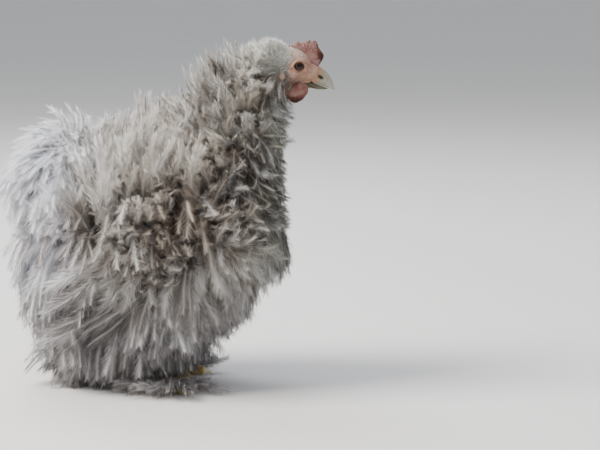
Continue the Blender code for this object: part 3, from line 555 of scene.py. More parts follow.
def horn_finish(name, base, tip, edge, way, low, high, nostril=False):
    """Grown keratin, worn smooth: faint growth bands across, paler towards the tip."""
    material, tree, place = new_finish(name)
    along = add(tree, "VectorMath", {0: place, 1: tuple(way)}, "Value", operation="DOT_PRODUCT")
    streaks = add(tree, "TexNoise", {"Vector": place, **grains(0.0035, 4.0)})
    colour = washed(tree, srgb(base), (along, low, high, 1.0, tip), (streaks, 0.45, 0.75, 0.55, edge))
    if nostril:
        hole = tuple(NOSTRIL + Vector((SHIFT.x, 0, SHIFT.z)))
        offset = add(tree, "VectorMath", {0: folded_over(tree, place), 1: hole}, operation="SUBTRACT")
        turn = {"Vector": offset, "Angle": NOSTRIL_TURN}
        turned = add(tree, "VectorRotate", turn, rotation_type="Y_AXIS")
        sizes = (1 / 0.0026, 1 / 0.0040, 1 / 0.0014)
        shaped = add(tree, "VectorMath", {0: turned, 1: sizes}, operation="MULTIPLY")
        away = add(tree, "VectorMath", {0: shaped}, "Value", operation="LENGTH")
        fleshy = (along, low + 0.009, low + 0.003, 1.0, "A07A60")
        # Painted shade: the nostril's hole is painted dark, darkest in its middle
        colour = washed(tree, colour, fleshy, (away, 1.30, 0.60, 1.0, "2A2212"))
    bands = add(tree, "Math", {0: along, 1: math.tau / 0.0012}, operation="MULTIPLY")
    bands = add(tree, "Math", {0: bands}, operation="SINE")
    shine = {"Roughness": 0.32, "IOR": 1.54, "Coat_Weight": 0.2, "Coat_Roughness": 0.2}
    return finished(material, colour, (bands, 0.00004, 0.5), **shine)


def leg_finish():
    """Scaled leg skin, grown in overlapping plates: dry yellow, mottled with brown."""
    material, tree, place = new_finish("leg_scales_dry_keratin")
    patches = add(tree, "TexNoise", {"Vector": place, **grains(0.006)})
    dirt = add(tree, "TexNoise", {"Vector": place, **grains(0.0016)})
    washes = ((patches, 0.35, 0.7, 1.0, "A98A55"), (dirt, 0.5, 0.8, 0.5, "77603E"))
    cracks = {"Vector": place, "Scale": 1 / 0.0011}
    cracks = add(tree, "TexVoronoi", cracks, "Distance", feature="DISTANCE_TO_EDGE")
    height = add(tree, "MapRange", {0: cracks, 1: 0.0, 2: 0.12})
    colour = washed(tree, srgb("C6AC70"), *washes)
    return finished(material, colour, (height, 0.0002, 0.6), Roughness=0.5, IOR=1.5)


def eye_finish(side_name):
    """A wet eyeball: black pupil in a dark amber iris, under a clear glossy cornea."""
    side = SIDES[side_name]
    material, tree, place = new_finish(f"wet_eyeball_{side_name}")
    centre = mirrored(EYE_CENTRE, side) + SHIFT
    offset = add(tree, "Mapping", {"Vector": place, "Location": tuple(-centre)})
    axis = tuple(eye_axis(side))
    away = add(tree, "VectorMath", {0: offset, 1: axis}, operation="CROSS_PRODUCT")
    radius = add(tree, "VectorMath", {0: away}, "Value", operation="LENGTH")
    fibres = add(tree, "TexNoise", {"Vector": offset, **grains(0.0005)})
    iris = washed(tree, srgb("2C160B"), (fibres, 0.3, 0.7, 1.0, "553019"))
    pupil = (radius, PUPIL_RADIUS, PUPIL_RADIUS + 0.0003, 1.0, iris)
    rim = (radius, IRIS_RADIUS, IRIS_RADIUS + 0.0006, 1.0, "150D09")
    gloss = {"Roughness": 0.12, "IOR": 1.38, "Coat_Weight": 0.5, "Coat_Roughness": 0.02}
    return finished(material, washed(tree, srgb("050404"), pupil, rim), **gloss)


def floor_finish():
    """Matt painted board, rolled: pale and even, with a very faint unevenness."""
    material, tree, place = new_finish("studio_board_matt_paint")
    patches = add(tree, "TexNoise", {"Vector": place, **grains(0.4, 2.0)})
    shades = {0: patches, 6: srgb("D9D7D3"), 7: srgb("DEDCD9")}
    return finished(material, add(tree, "Mix", shades, 2, data_type="RGBA"), Roughness=0.85)


# Skin and head

def eye_axis(side):
    """Where the eye looks: sideways and a little forwards."""
    return Vector((0.30, side, 0.02)).normalized()


def lid_ring(side):
    """The lids: a low soft ring round one eye, drawn out at its corners."""
    centre = mirrored(EYE_CENTRE, side)
    axis = eye_axis(side)
    first = axis.cross(Vector((0, 0, 1))).normalized()
    second = first.cross(axis)
    rings = []
    around = 40
    for i in range(around + 1):
        angle = math.tau * i / around
        corner = 1 + 0.10 * abs(math.cos(angle)) ** 3
        out = first * (math.cos(angle) * 1.06 * corner) + second * math.sin(angle) * 0.86
        upper = max(math.sin(angle), 0)
        middle = centre + axis * (EYE_RADIUS * (0.46 + 0.10 * upper)) + out * (EYE_RADIUS * 1.02)
        thick = 0.00085 + 0.00035 * upper
        out = out.normalized()
        turns = [math.tau * j / 10 for j in range(10)]
        rings.append([middle + (out * math.cos(t) + axis * math.sin(t)) * thick for t in turns])
    return lofted("lid", rings)


def face_shapes():
    """The closed shapes that make up the head, from the skull to the throat."""
    made = []
    for centre, half, square, pitch in (
        (HEAD_CENTRE + Vector((-0.0015, 0, 0.0005)), (0.0180, 0.0116, 0.0142), 2.1, 14),  # skull
        ((0.1060, 0.0, 0.2445), (0.0115, 0.0096, 0.0105), 2.0, 14),  # round the eyes
        ((0.1130, 0.0, 0.2440), (0.0084, 0.0064, 0.0072), 2.2, 25),  # root of the beak
        ((0.1030, 0.0, 0.2560), (0.0120, 0.0050, 0.0062), 2.0, 28),  # foot of the comb
        ((0.1035, 0.0, 0.2360), (0.0110, 0.0062, 0.0052), 2.0, 10),  # jaw
        ((0.1105, 0.0, 0.2350), (0.0050, 0.0042, 0.0032), 2.0, 10),  # chin
        ((0.0950, 0.0, 0.2320), (0.0105, 0.0080, 0.0090), 2.0, -20),  # throat
    ):
        made.append(Egg(Vector(centre), Vector(half), square, math.radians(pitch)).solid("face"))
    for side in SIDES.values():
        for centre, half, pitch in (
            ((0.1050, 0.0078, 0.2542), (0.0062, 0.0024, 0.0016), 0.25),  # brow
            ((0.0975, 0.0086, 0.2440), (0.0070, 0.0038, 0.0052), 0.3),  # cheek
            ((0.1090, 0.0058, 0.2372), (0.0052, 0.0022, 0.0014), -0.1),  # corner of the mouth
        ):
            made.append(Egg(mirrored(Vector(centre), side), Vector(half), 2.0, pitch).solid("face"))
        made.append(lid_ring(side))
    return made


def neck_tube():
    def station(step):
        t = -0.30 + 1.36 * step / 30
        return neck_centre(t), neck_along(t), neck_radius(t)

    return tube("neck", 30, station, 32, 0.96)


def thigh_place(side, share):
    """A place on the thigh's middle line, and the thigh's radius there."""
    radius = mixed(*THIGH_RADII, share**0.8)
    return mirrored(THIGH_TOP, side).lerp(mirrored(HOCK, side), share), radius


def thigh_tube(side):
    def station(step):
        centre, radius = thigh_place(side, step / 12)
        return centre, (mirrored(HOCK, side) - mirrored(THIGH_TOP, side)).normalized(), radius

    return tube("thigh", 12, station, 24)


def wing_lens(side):
    rings = []
    for i in range(1, 12):
        share = i / 12
        ring = []
        along = -WING_HALF[0] * math.cos(math.pi * share)
        reach = WING_HALF[1] * math.sin(math.pi * share)
        for j in range(24):
            angle = math.tau * j / 24
            across = reach * math.cos(angle)
            place = wing_point(along, across)
            bulge = wing_thickness(along, across) if math.sin(angle) > 0 else 0.001
            y = flank_y(place) - WING_SUNK + bulge * abs(math.sin(angle))
            ring.append(Vector((place.x, y * side, place.z)))
        rings.append(ring)
    return lofted("wing", rings)


def skin():
    """One skin over torso, neck, head, tail, wings and thighs, finer over the head."""
    shapes = [TORSO.solid("torso", 32, 48), TAIL.solid("tail"), neck_tube()]
    for side in SIDES.values():
        shapes += [thigh_tube(side), wing_lens(side)]
    made = welded("skin_of_the_body", shapes, BODY_CELL, 10)
    head = welded("skin_of_the_head", face_shapes(), HEAD_CELL, 3)
    moved_vertices(head, face_relief)
    modifier = made.modifiers.new("fuse", "BOOLEAN")
    modifier.operation = "UNION"
    modifier.solver = "MANIFOLD"
    modifier.object = head
    applied(made)
    bpy.data.objects.remove(head)
    made.data.shade_smooth()
    made.name = "skin"
    return made


def face_relief(point):
    """Fine wrinkles and small papillae on the bare face."""
    if point.x < 0.088:
        return 0.0
    folds = grain(Vector((point.x * 0.6, point.y, point.z * 1.6)), 0.0022, 3.0)
    bumps = max(grain(point, 0.0011, 7.0), 0)
    return 0.00016 * folds + 0.00022 * bumps


def eyeball(side_name):
    side = SIDES[side_name]
    ball = Egg(mirrored(EYE_CENTRE, side), Vector((1, 1, 1)) * EYE_RADIUS)
    return ball.solid(f"eyeball_{side_name}", 32, 48)


def beak_half(name, top_root, middle_root, bulge, half_width, tip):
    """Arched sections from inside the face to the tip: the horn shell and its inner face."""
    rings = []
    stations = 46
    arc = 26
    for i in range(stations + 1):
        share = -0.10 + 1.10 * i / stations
        seam = middle_root.lerp(tip, share)
        edge = top_root.lerp(tip, share) + bulge * math.sin(math.pi * max(share, 0)) ** 0.9
        seam = seam + (edge - seam).normalized() * 0.00015
        narrow = max(1 - max(share, 0) ** 1.25, 0.0002)
        wide = half_width * narrow**0.72
        rise = edge - seam
        ring = []
        for j in range(arc + 1):
            angle = math.pi * j / arc
            ridge = abs(math.cos(angle)) ** 0.85 * math.copysign(1, math.cos(angle))
            ring.append(seam + Vector((0, ridge * wide, 0)) + rise * max(math.sin(angle), 0) ** 0.92)
        for j in range(1, arc):
            level = 1 - 2 * j / arc
            ring.append(seam + Vector((0, -level * wide, 0)) + rise * (0.10 * (1 - level**2)))
        rings.append(ring)
    return lofted(name, rings)


def beak():
    """Both mandibles, with a nostril on each side under its small lid."""
    upper = beak_half(
        "beak_horn_upper", BROW, GAPE, Vector((0.0024, 0, 0.0030)), BEAK_HALF_WIDTH,
        BEAK_TIP + Vector((0.0003, 0, -0.0006)),
    )

    def relief(point):
        depth = 0.0
        for side in SIDES.values():
            offset = point - mirrored(NOSTRIL, side)
            offset = Matrix.Rotation(NOSTRIL_TURN, 3, "Y") @ offset
            pit = math.hypot(offset.x / 0.0019, offset.z / 0.0009)
            if abs(offset.y) < 0.0025:
                depth -= 0.0013 * math.exp(-(pit**4))
                lid = math.hypot(offset.x / 0.0024, (offset.z - 0.0013) / 0.0008)
                depth += 0.0004 * math.exp(-(lid**2))
        return depth + 0.00003 * grain(point, 0.0018, 2.0)

    moved_vertices(upper, relief)
    lower = beak_half(
        "beak_horn_lower", CHIN, GAPE + Vector((-0.0010, 0, -0.0001)), Vector((0.0008, 0, -0.0012)),
        BEAK_HALF_WIDTH * 0.86, BEAK_TIP + Vector((-0.0045, 0, 0.0006)),
    )
    return upper, lower


def comb_edge():
    """The comb's outline from its rear foot, over its low blunt points, to its front foot."""
    rear = Vector((0.0965, 0, 0.2658))
    front = Vector((0.1182, 0, 0.2680))
    line = []
    steps = 90
    for i in range(steps + 1):
        share = i / steps
        tooth = min(int(share * COMB_POINTS), COMB_POINTS - 1)
        wave = abs(math.sin(math.pi * COMB_POINTS * share)) ** 0.55
        rise = 0.0022 * (wave * (0.3, 1.2, 0.6, 1.4, 0.8)[tooth] - 0.5)
        line.append(rear.lerp(front, share) + Vector((0, 0, rise)))
    falling = ((0.1196, 0, 0.2632), (0.1233, 0, 0.2578), (0.1226, 0, 0.2530), (0.1185, 0, 0.2480))
    falling = [front, *map(Vector, falling)]
    line += [along_path(falling, i / 24) for i in range(1, 25)]
    sunk = [falling[-1], Vector((0.1100, 0, 0.2510)), Vector((0.0985, 0, 0.2570)), rear]
    line += [along_path(sunk, i / 24) for i in range(1, 24)]
    return line


def comb():
    """A small single comb: a thick granular blade with low blunt points, thicker at its foot."""
    edge = comb_edge()
    middle = Vector((0.1090, 0, 0.2590))
    foot = (COMB_FRONT - COMB_REAR).normalized()
    lift = Vector((0, 1, 0)).cross(-foot)
    shares = [math.sin(math.pi / 2 * i / 12) for i in range(1, 13)]
    rings = []
    for turn, ordered in ((1, shares), (-1, shares[-2::-1])):
        for share in ordered:
            ring = []
            for point in edge:
                place = middle.lerp(point, share)
                height = between((place - COMB_REAR).dot(lift), -0.002, 0.014)
                thick = COMB_THICK / 2 * mixed(1.5, 0.75, height) * math.sqrt(max(1 - share**4, 0))
                ring.append(place + Vector((0, turn * thick, 0)))
            rings.append(ring)
    made = lofted("comb_single", rings)

    def relief(point):
        return 0.0003 * grain(point, 0.0013, 5.0) + 0.0003 * grain(point, 0.004)

    moved_vertices(made, relief)
    return made


def lappet(name, centre, half, side, pitch):
    """A wattle or an earlobe: a flat drop of wrinkled skin that hangs against the head."""
    egg = Egg(mirrored(centre, side), half, 2.2, pitch)
    made = egg.solid(name, 32, 40)

    def relief(point):
        folds = grain(Vector((point.x, 0, point.z * 0.45)), 0.0026, 1.0 + side)
        return 0.0004 * folds + 0.00018 * grain(point, 0.0009, 4.0)

    moved_vertices(made, relief)
    return made


# Legs

def toe_line(side, heading, length):
    """A toe's path from the ankle to the root of its claw."""
    ankle = mirrored(ANKLE, side)
    way = Vector((math.cos(heading), math.sin(heading) * side, 0))
    start = Vector((ankle.x, ankle.y, TOE_RISE))
    knuckle = start + way * (length * 0.45) - Vector((0, 0, 0.0026))
    end = start + way * length - Vector((0, 0, 0.0034))
    return [start, knuckle, start.lerp(end, 0.75) - Vector((0, 0, 0.0002)), end], way


def along_path(path, share):
    """A point on a smooth line through the path's points."""
    place = share * (len(path) - 1)
    i = min(int(place), len(path) - 2)
    before = path[max(i - 1, 0)]
    after = path[min(i + 2, len(path) - 1)]
    t = place - i
    a, b = path[i], path[i + 1]
    return 0.5 * (
        2 * a + (b - before) * t + (2 * before - 5 * a + 4 * b - after) * t**2
        + (3 * a - before - 3 * b + after) * t**3
    )


def flattened(point):
    """A point of the foot, brought up to the flat of its sole."""
    return Vector((point.x, point.y, max(point.z, FLOOR_GAP)))


def leg(side_name):
    """Shank, foot and toes in one skin, with a pad under each joint."""
    side = SIDES[side_name]
    hock = mirrored(HOCK, side)
    ankle = mirrored(ANKLE, side)

    def shank(step):
        share = step / 16
        place = (hock + Vector((0, 0, 0.007))).lerp(ankle - Vector((0, 0, 0.003)), share)
        return place, (ankle - hock).normalized(), SHANK_RADIUS * (1 + 0.16 * (2 * share - 1) ** 2)

    palm = Egg(Vector((ankle.x, ankle.y, 0.0078)), Vector((0.0085, 0.0074, 0.0076)))
    shapes = [tube("shank", 16, shank, 24, 0.9), palm.solid("palm")]
    for _, heading, length in TOES:
        path, way = toe_line(side, heading, length)

        def toe(step):
            share = step / 30
            joints = 0.07 * math.cos(math.tau * 3 * share)
            return along_path(path, share), way, TOE_RADIUS * (mixed(1.12, 0.70, share) + joints)

        shapes.append(tube("toe", 30, toe, 20, 0.95))
    made = welded(f"leg_{side_name}", shapes, LEG_CELL, 3)
    for v in made.data.vertices:
        v.co = flattened(v.co)
    return made


def scute_places(side):
    """Where each horny plate sits, which way it runs, its outward side and its half sizes."""
    places = []
    ankle = mirrored(ANKLE, side)
    hock = mirrored(HOCK, side)
    down = (ankle - hock).normalized()
    front = Vector((1, 0, 0)) - down * down.x
    front.normalize()
    for i in range(8):
        centre = (hock + Vector((0, 0, 0.004))).lerp(ankle, i / 8)
        for turn in (-0.55, 0.55):
            out = Matrix.Rotation(turn, 3, down) @ front
            places.append((centre + out * (SHANK_RADIUS * 0.93), down, out, (0.0023, 0.0030, 0.0007)))
    for _, heading, length in TOES:
        path, way = toe_line(side, heading, length)
        count = max(int(length / 0.0024), 4)
        for i in range(count):
            share = (i + 0.7) / (count + 0.4)
            centre = along_path(path, share)
            size = mixed(1.0, 0.68, share)
            up = Vector((0, 0, 1))
            places.append((centre + up * (TOE_RADIUS * mixed(1.02, 0.66, share)), way, up,
                           (0.0018, 0.0034 * size, 0.0007)))
    return places


def claws(side_name):
    """The four claws of a foot: curved horn cones, flatter underneath."""
    made = []
    for _, heading, length in TOES:
        path, way = toe_line(SIDES[side_name], heading, length)
        root = path[-1] - way * 0.0008

        def claw(step):
            share = step / 12
            drop = Vector((0, 0, -0.0031 * share**2))
            place = root + way * ((CLAW_LENGTH + 0.0008) * share) + drop
            return place, way, CLAW_RADIUS * (1 - share) ** 0.7 + 0.00012

        made.append(tube("claw", 12, claw, 16, 0.82, flattened))
    return joined(f"claws_horn_{side_name}", made)


# Geometry trees

def new_tree(name, result, inputs, held):
    """A geometry tree with named inputs, and the fields that its points hold."""
    tree = bpy.data.node_groups.new(name, "GeometryNodeTree")
    for title, kind, value in inputs:
        made = tree.interface.new_socket(title, in_out="INPUT", socket_type=f"NodeSocket{kind}")
        if value is not None:
            made.default_value = value
    tree.interface.new_socket(result, in_out="OUTPUT", socket_type="NodeSocketGeometry")
    fields = {}
    for key, kind in held.items():
        fields[key] = add(tree, "InputNamedAttribute", {"Name": key}, data_type=kind)
    return tree, add(tree, "GroupInput", out=None).outputs, fields


def closed_tree(tree, made, material):
    """The tree with its end: smooth faces, their material and the way out."""
    made = add(tree, "SetShadeSmooth", {"Geometry": made})
    made = add(tree, "SetMaterial", {"Geometry": made, "Material": material})
    tree.links.new(made, add(tree, "GroupOutput", out=None).inputs[0])
    return tree


def feather_tree():
    """Grows feathers along bare shafts: a tapered quill with thin pointed barbs in pairs along it."""
    inputs = (
        ("Shafts", "Geometry", None),
        ("Barb Spacing", "Float", 0.0013),
        ("Barb Jitter", "Float", 0.13),
        ("Barb Raggedness", "Float", 0.22),
        ("Quill Radius", "Float", 0.00022),
        ("Quill Points", "Int", 5),
        ("Patch Size", "Float", 0.003),
        ("Seed", "Int", SEED),
        ("Material", "Material", None),
    )
    held = dict.fromkeys(("way_left", "way_right", "up", "barb_size", "root_map"), "FLOAT_VECTOR")
    held.update(dict.fromkeys(("quill", "along", "reach"), "FLOAT"))
    tree, given, held = new_tree("frizzled_feathers", "Feathers", inputs, held)
    shaft = add(tree, "MeshToCurve", {"Mesh": given["Shafts"]})
    dense = add(tree, "ResampleCurve", {"Curve": shaft, "Length": given["Barb Spacing"]}, mode="LENGTH")
    jitter = given["Barb Jitter"]
    low = add(tree, "Math", {0: jitter, 1: -1.0}, operation="MULTIPLY")
    shortest = add(tree, "Math", {0: 1.0, 1: given["Barb Raggedness"]}, operation="SUBTRACT")
    longest = add(tree, "Math", {0: 1.0, 1: given["Barb Raggedness"]})
    cone = {"Vertices": 3, "Radius Top": 0.0, "Radius Bottom": 0.5, "Depth": 1.0}
    parts = []
    for name, turn in (("left", 1.0), ("right", -1.0)):
        barb = add(tree, "MeshCone", cone, "Mesh", fill_type="NGON")
        split = add(tree, "SeparateXYZ", {0: add(tree, "InputPosition")}, None).outputs
        laid = add(tree, "CombineXYZ", {"X": split["Z"], "Y": split["Y"], "Z": split["X"]})
        reach = add(tree, "Math", {0: split["Z"], 1: turn}, operation="MULTIPLY")
        barb = add(tree, "StoreNamedAttribute", {"Geometry": barb, "Name": "reach", "Value": reach})
        barb = add(tree, "SetPosition", {"Geometry": barb, "Position": laid})
        barb = add(tree, "FlipFaces", {"Mesh": barb})
        axes = {"Primary Axis": held[f"way_{name}"], "Secondary Axis": held["up"]}
        turned = add(tree, "AxesToRotation", axes, primary_axis="X", secondary_axis="Z")
        seed = add(tree, "Math", {0: given["Seed"], 1: turn * 7})
        shake = add(tree, "RandomValue", {0: low, 1: jitter, "Seed": seed}, data_type="FLOAT_VECTOR")
        shake = add(tree, "EulerToRotation", {0: shake})
        shake = {"Rotation": turned, "Rotate By": shake}
        turned = add(tree, "RotateRotation", shake, rotation_space="LOCAL")
        cut = add(tree, "RandomValue", {2: shortest, 3: longest, "Seed": seed}, 1, data_type="FLOAT")
        cut = add(tree, "CombineXYZ", {"X": cut, "Y": 1.0, "Z": 1.0})
        size = add(tree, "VectorMath", {0: held["barb_size"], 1: cut}, operation="MULTIPLY")
        place = {"Points": dense, "Instance": barb, "Rotation": turned, "Scale": size}
        parts.append(add(tree, "RealizeInstances", {"Geometry": add(tree, "InstanceOnPoints", place)}))
    line = add(tree, "ResampleCurve", {"Curve": shaft, "Count": given["Quill Points"]})
    taper = add(tree, "Math", {0: held["quill"], 1: given["Quill Radius"]}, operation="MULTIPLY")
    ring = add(tree, "CurvePrimitiveCircle", {"Resolution": 3, "Radius": 1.0}, "Curve", mode="RADIUS")
    quill = {"Curve": line, "Profile Curve": ring, "Scale": taper, "Fill Caps": True}
    quill = add(tree, "CurveToMesh", quill)
    parts.append(add(tree, "StoreNamedAttribute", {"Geometry": quill, "Name": "reach", "Value": 0.0}))
    join = add(tree, "JoinGeometry", out=None)
    for part in parts:
        tree.links.new(part, join.inputs[0])
    reach = add(tree, "Math", {0: held["reach"], 1: 0.5, 2: 0.5}, operation="MULTIPLY_ADD")
    patch = add(tree, "CombineXYZ", {"X": held["along"], "Y": reach})
    patch = add(tree, "VectorMath", {0: patch, "Scale": given["Patch Size"]}, operation="SCALE")
    patch = add(tree, "VectorMath", {0: patch, 1: held["root_map"]})
    made = {"Geometry": join.outputs[0], "Name": "OFBake", "Value": patch}
    made = add(tree, "StoreNamedAttribute", made, data_type="FLOAT2", domain="CORNER")
    return closed_tree(tree, made, given["Material"])


def plate_tree():
    """Sets a low oval plate on every point, along the way and outward side that it holds."""
    inputs = (("Places", "Geometry", None), ("Plate Segments", "Int", 12), ("Material", "Material", None))
    held = dict.fromkeys(("way", "up", "size"), "FLOAT_VECTOR")
    tree, given, held = new_tree("leg_plates", "Plates", inputs, held)
    plate = {"Segments": given["Plate Segments"], "Rings": 6, "Radius": 1.0}
    plate = add(tree, "MeshUVSphere", plate, "Mesh")
    axes = {"Primary Axis": held["way"], "Secondary Axis": held["up"]}
    turned = add(tree, "AxesToRotation", axes, primary_axis="X", secondary_axis="Z")
    place = {"Points": given["Places"], "Instance": plate, "Rotation": turned, "Scale": held["size"]}
    made = add(tree, "RealizeInstances", {"Geometry": add(tree, "InstanceOnPoints", place)})
    return closed_tree(tree, made, given["Material"])


def grown(name, points, edges, attributes, tree, inputs):
    """The plain mesh that a tree grows on points, each with its attributes."""
    mesh = bpy.data.meshes.new(name)
    mesh.from_pydata(points, edges, [])
    for key, values in attributes.items():
        values = np.asarray(values, np.float32)
        if values.ndim == 1:
            mesh.attributes.new(key, "FLOAT", "POINT").data.foreach_set("value", values)
        else:
            mesh.attributes.new(key, "FLOAT_VECTOR", "POINT").data.foreach_set("vector", values.ravel())
    made = new_object(name, mesh)
    modifier = made.modifiers.new("grow", "NODES")
    modifier.node_group = tree
    for item in tree.interface.items_tree:
        if item.in_out == "INPUT" and item.name in inputs:
            modifier[item.identifier] = inputs[item.name]
    applied(made)
    for key in attributes:
        if key not in ("along", "tone") and key in made.data.attributes:
            made.data.attributes.remove(made.data.attributes[key])
    made.data.name = name
    for v in made.data.vertices:
        v.co.z = max(v.co.z, FLOOR_GAP)
    return made


# Feathers

class Plume(NamedTuple):
    """One kind of feather. root, middle and tip say how far its shaft heads away from the body,
    and how far along its lie; a tip that heads outwards or against the lie is the frizzled curl.
    fall is how far its own weight draws the shaft down, open is the angle of its barbs at the
    base, and shut at the tip, in degrees."""

    length: float
    width: float
    root: tuple
    middle: tuple
    tip: tuple
    ragged: float = 0.45
    quill: float = 1.0
    open: float = 52
    shut: float = 24
    frizz: float = 1.0
    fall: float = 0.0

    def mixed(self, other, share):
        def blend(a, b):
            return tuple(map(blend, a, b)) if isinstance(a, tuple) else mixed(a, b, share)

        return Plume(*blend(self, other))

    def sized(self, share):
        return self._replace(length=self.length * share)


SADDLE = Plume(0.048, 0.012, (1.0, 0.25), (1.0, 0.15), (1.0, -0.35))
SWEEP = Plume(0.048, 0.012, (0.8, 0.60), (0.45, 0.90), (0.55, 0.80))
RUFF = Plume(0.028, 0.009, (1.0, 0.10), (0.9, -0.20), (0.6, -0.8), frizz=1.6)
FLANK = Plume(0.054, 0.013, (0.7, 0.70), (0.38, 1.0), (0.40, 0.90), fall=0.6)
HANG = Plume(0.060, 0.013, (0.8, 0.60), (0.36, 0.9), (0.12, 0.90), 0.5, fall=1.4)
SKIRT = Plume(0.060, 0.013, (0.6, 0.80), (0.12, 1.0), (-0.05, 1.00), 0.5, fall=2.0)
FLUFF = Plume(0.051, 0.014, (0.9, 0.40), (0.60, 0.9), (0.50, 0.85), 0.7, fall=0.8)
BREAST = Plume(0.042, 0.012, (0.6, 0.80), (0.34, 1.0), (0.32, 0.90), fall=0.5)
KEEL = Plume(0.036, 0.012, (0.5, 0.90), (0.12, 1.0), (0.05, 1.00), fall=0.6)
TUCK = Plume(0.036, 0.012, (0.5, 0.90), (0.08, 1.0), (-0.25, 0.95), fall=0.6)
NAPE = Plume(0.040, 0.010, (1.0, 0.10), (0.9, -0.40), (0.50, -0.9), frizz=1.7)
HACKLE = Plume(0.031, 0.009, (0.6, 0.80), (0.40, 1.0), (0.80, 0.50), frizz=1.3)
STRAND = Plume(0.034, 0.008, (0.75, 0.70), (0.38, 1.0), (0.40, 0.90), frizz=0.8)
THROAT = Plume(0.024, 0.008, (0.7, 0.80), (0.55, 1.0), (0.80, 0.40), frizz=1.2)
CROWN = Plume(0.012, 0.005, (0.6, 0.90), (0.75, 0.60), (0.90, 0.20), frizz=1.3)
CHEEK = Plume(0.007, 0.003, (0.30, 1.0), (0.25, 1.0), (0.40, 0.9))
BRISTLE = Plume(0.0034, 0.0010, (0.20, 1.0), (0.15, 1.0), (0.25, 1.0), 0.6, 0.5)
CUSHION = Plume(0.043, 0.013, (0.9, 0.40), (0.50, 0.9), (0.20, 1.00), fall=0.8)
CREST = Plume(0.035, 0.013, (1.0, 0.10), (0.95, 0.30), (0.50, 0.90), fall=0.4)
TAIL_FEATHER = Plume(0.046, 0.014, (1.0, 0.15), (0.78, 0.55), (0.20, 1.00), frizz=0.8, fall=0.4)
FLIGHT = Plume(0.074, 0.013, (0.38, 1.0), (0.05, 1.0), (-0.32, 1.0), 0.06, 3.0, 28, 15, 0.15)
COVERT = Plume(0.036, 0.013, (0.70, 1.0), (0.35, 1.0), (0.60, 0.7), 0.45, 1.2, 50, 24, 1.3)
FRINGE = Plume(0.040, 0.012, (0.50, 1.0), (0.25, 1.0), (0.30, 1.0), fall=0.5)
BOW = Plume(0.026, 0.010, (0.7, 0.70), (0.6, 0.5), (0.4, -0.5), 0.5, 1.2, frizz=1.4)
CURL = Plume(0.027, 0.0065, (0.9, 0.90), (0.6, 0.2), (-0.4, -0.9), 0.5, 1.25, frizz=1.0)
HOCK_FLUFF = Plume(0.026, 0.011, (0.8, 0.50), (0.4, 1.0), (0.4, 1.0), 0.9)
FOOT_FEATHER = Plume(0.036, 0.010, (1.0, 0.0), (1.0, 0.15), (1.0, 0.35), 0.2, 1.4, frizz=0.3)

# The curled shafts over the wing bow lie along this line
BOW_LINE = ((0.011, 0, 0.180), (0.001, 0, 0.164), (-0.004, 0, 0.148), (-0.026, 0, 0.114))
BOW_LINE = [Vector(place) for place in BOW_LINE]
# Each region's own part of the map: left, low, width and height
TILES = {
    "torso": (0.01, 0.01, 0.58, 0.48),
    "neck": (0.61, 0.01, 0.38, 0.48),
    "head": (0.01, 0.51, 0.30, 0.30),
    "tail": (0.34, 0.51, 0.30, 0.30),
    "wing_left": (0.67, 0.51, 0.15, 0.30),
    "wing_right": (0.84, 0.51, 0.15, 0.30),
    "thigh_left": (0.01, 0.83, 0.18, 0.15),
    "thigh_right": (0.21, 0.83, 0.18, 0.15),
}
# A second feather from the same root has its place on the map this much further round
SECOND = 0.003
# How many roots or rows each region has before some are left out
TORSO_ROOTS = 2200
HEAD_ROOTS = 1700
FACE_BRISTLES = 900
TAIL_ROOTS = 715
TAIL_TIERS, TAIL_FAN = 3, 26
NECK_ROWS = 42
NECK_SPACING = 0.0042
CROP_ROWS, CROP_COLUMNS = 6, 15
FLIGHT_TIERS, FLIGHTS = 2, 12
COVERT_ROWS, COVERTS = 4, 11
WING_FRINGES = 30
WING_RUFFS = 36
BOW_FEATHERS = 130
HOCK_ROWS, HOCK_ROUND = 8, 11
SHAFT_STEPS = 9
# A shaft stays this far above the floor, so that its barbs don't pass through it
FLOOR_ROOM = 0.0022
# Neighbouring feathers lean together in locks of about this size
LOCK_SIZE = 0.016
LOCK_LEAN = 0.85
BARB_THICKNESS = 0.00028
# The triangles of a pair of barbs, of a quill, and the most that a piece may have
PAIR_TRIANGLES = 8
QUILL_TRIANGLES = 26
MOST_TRIANGLES = 180000


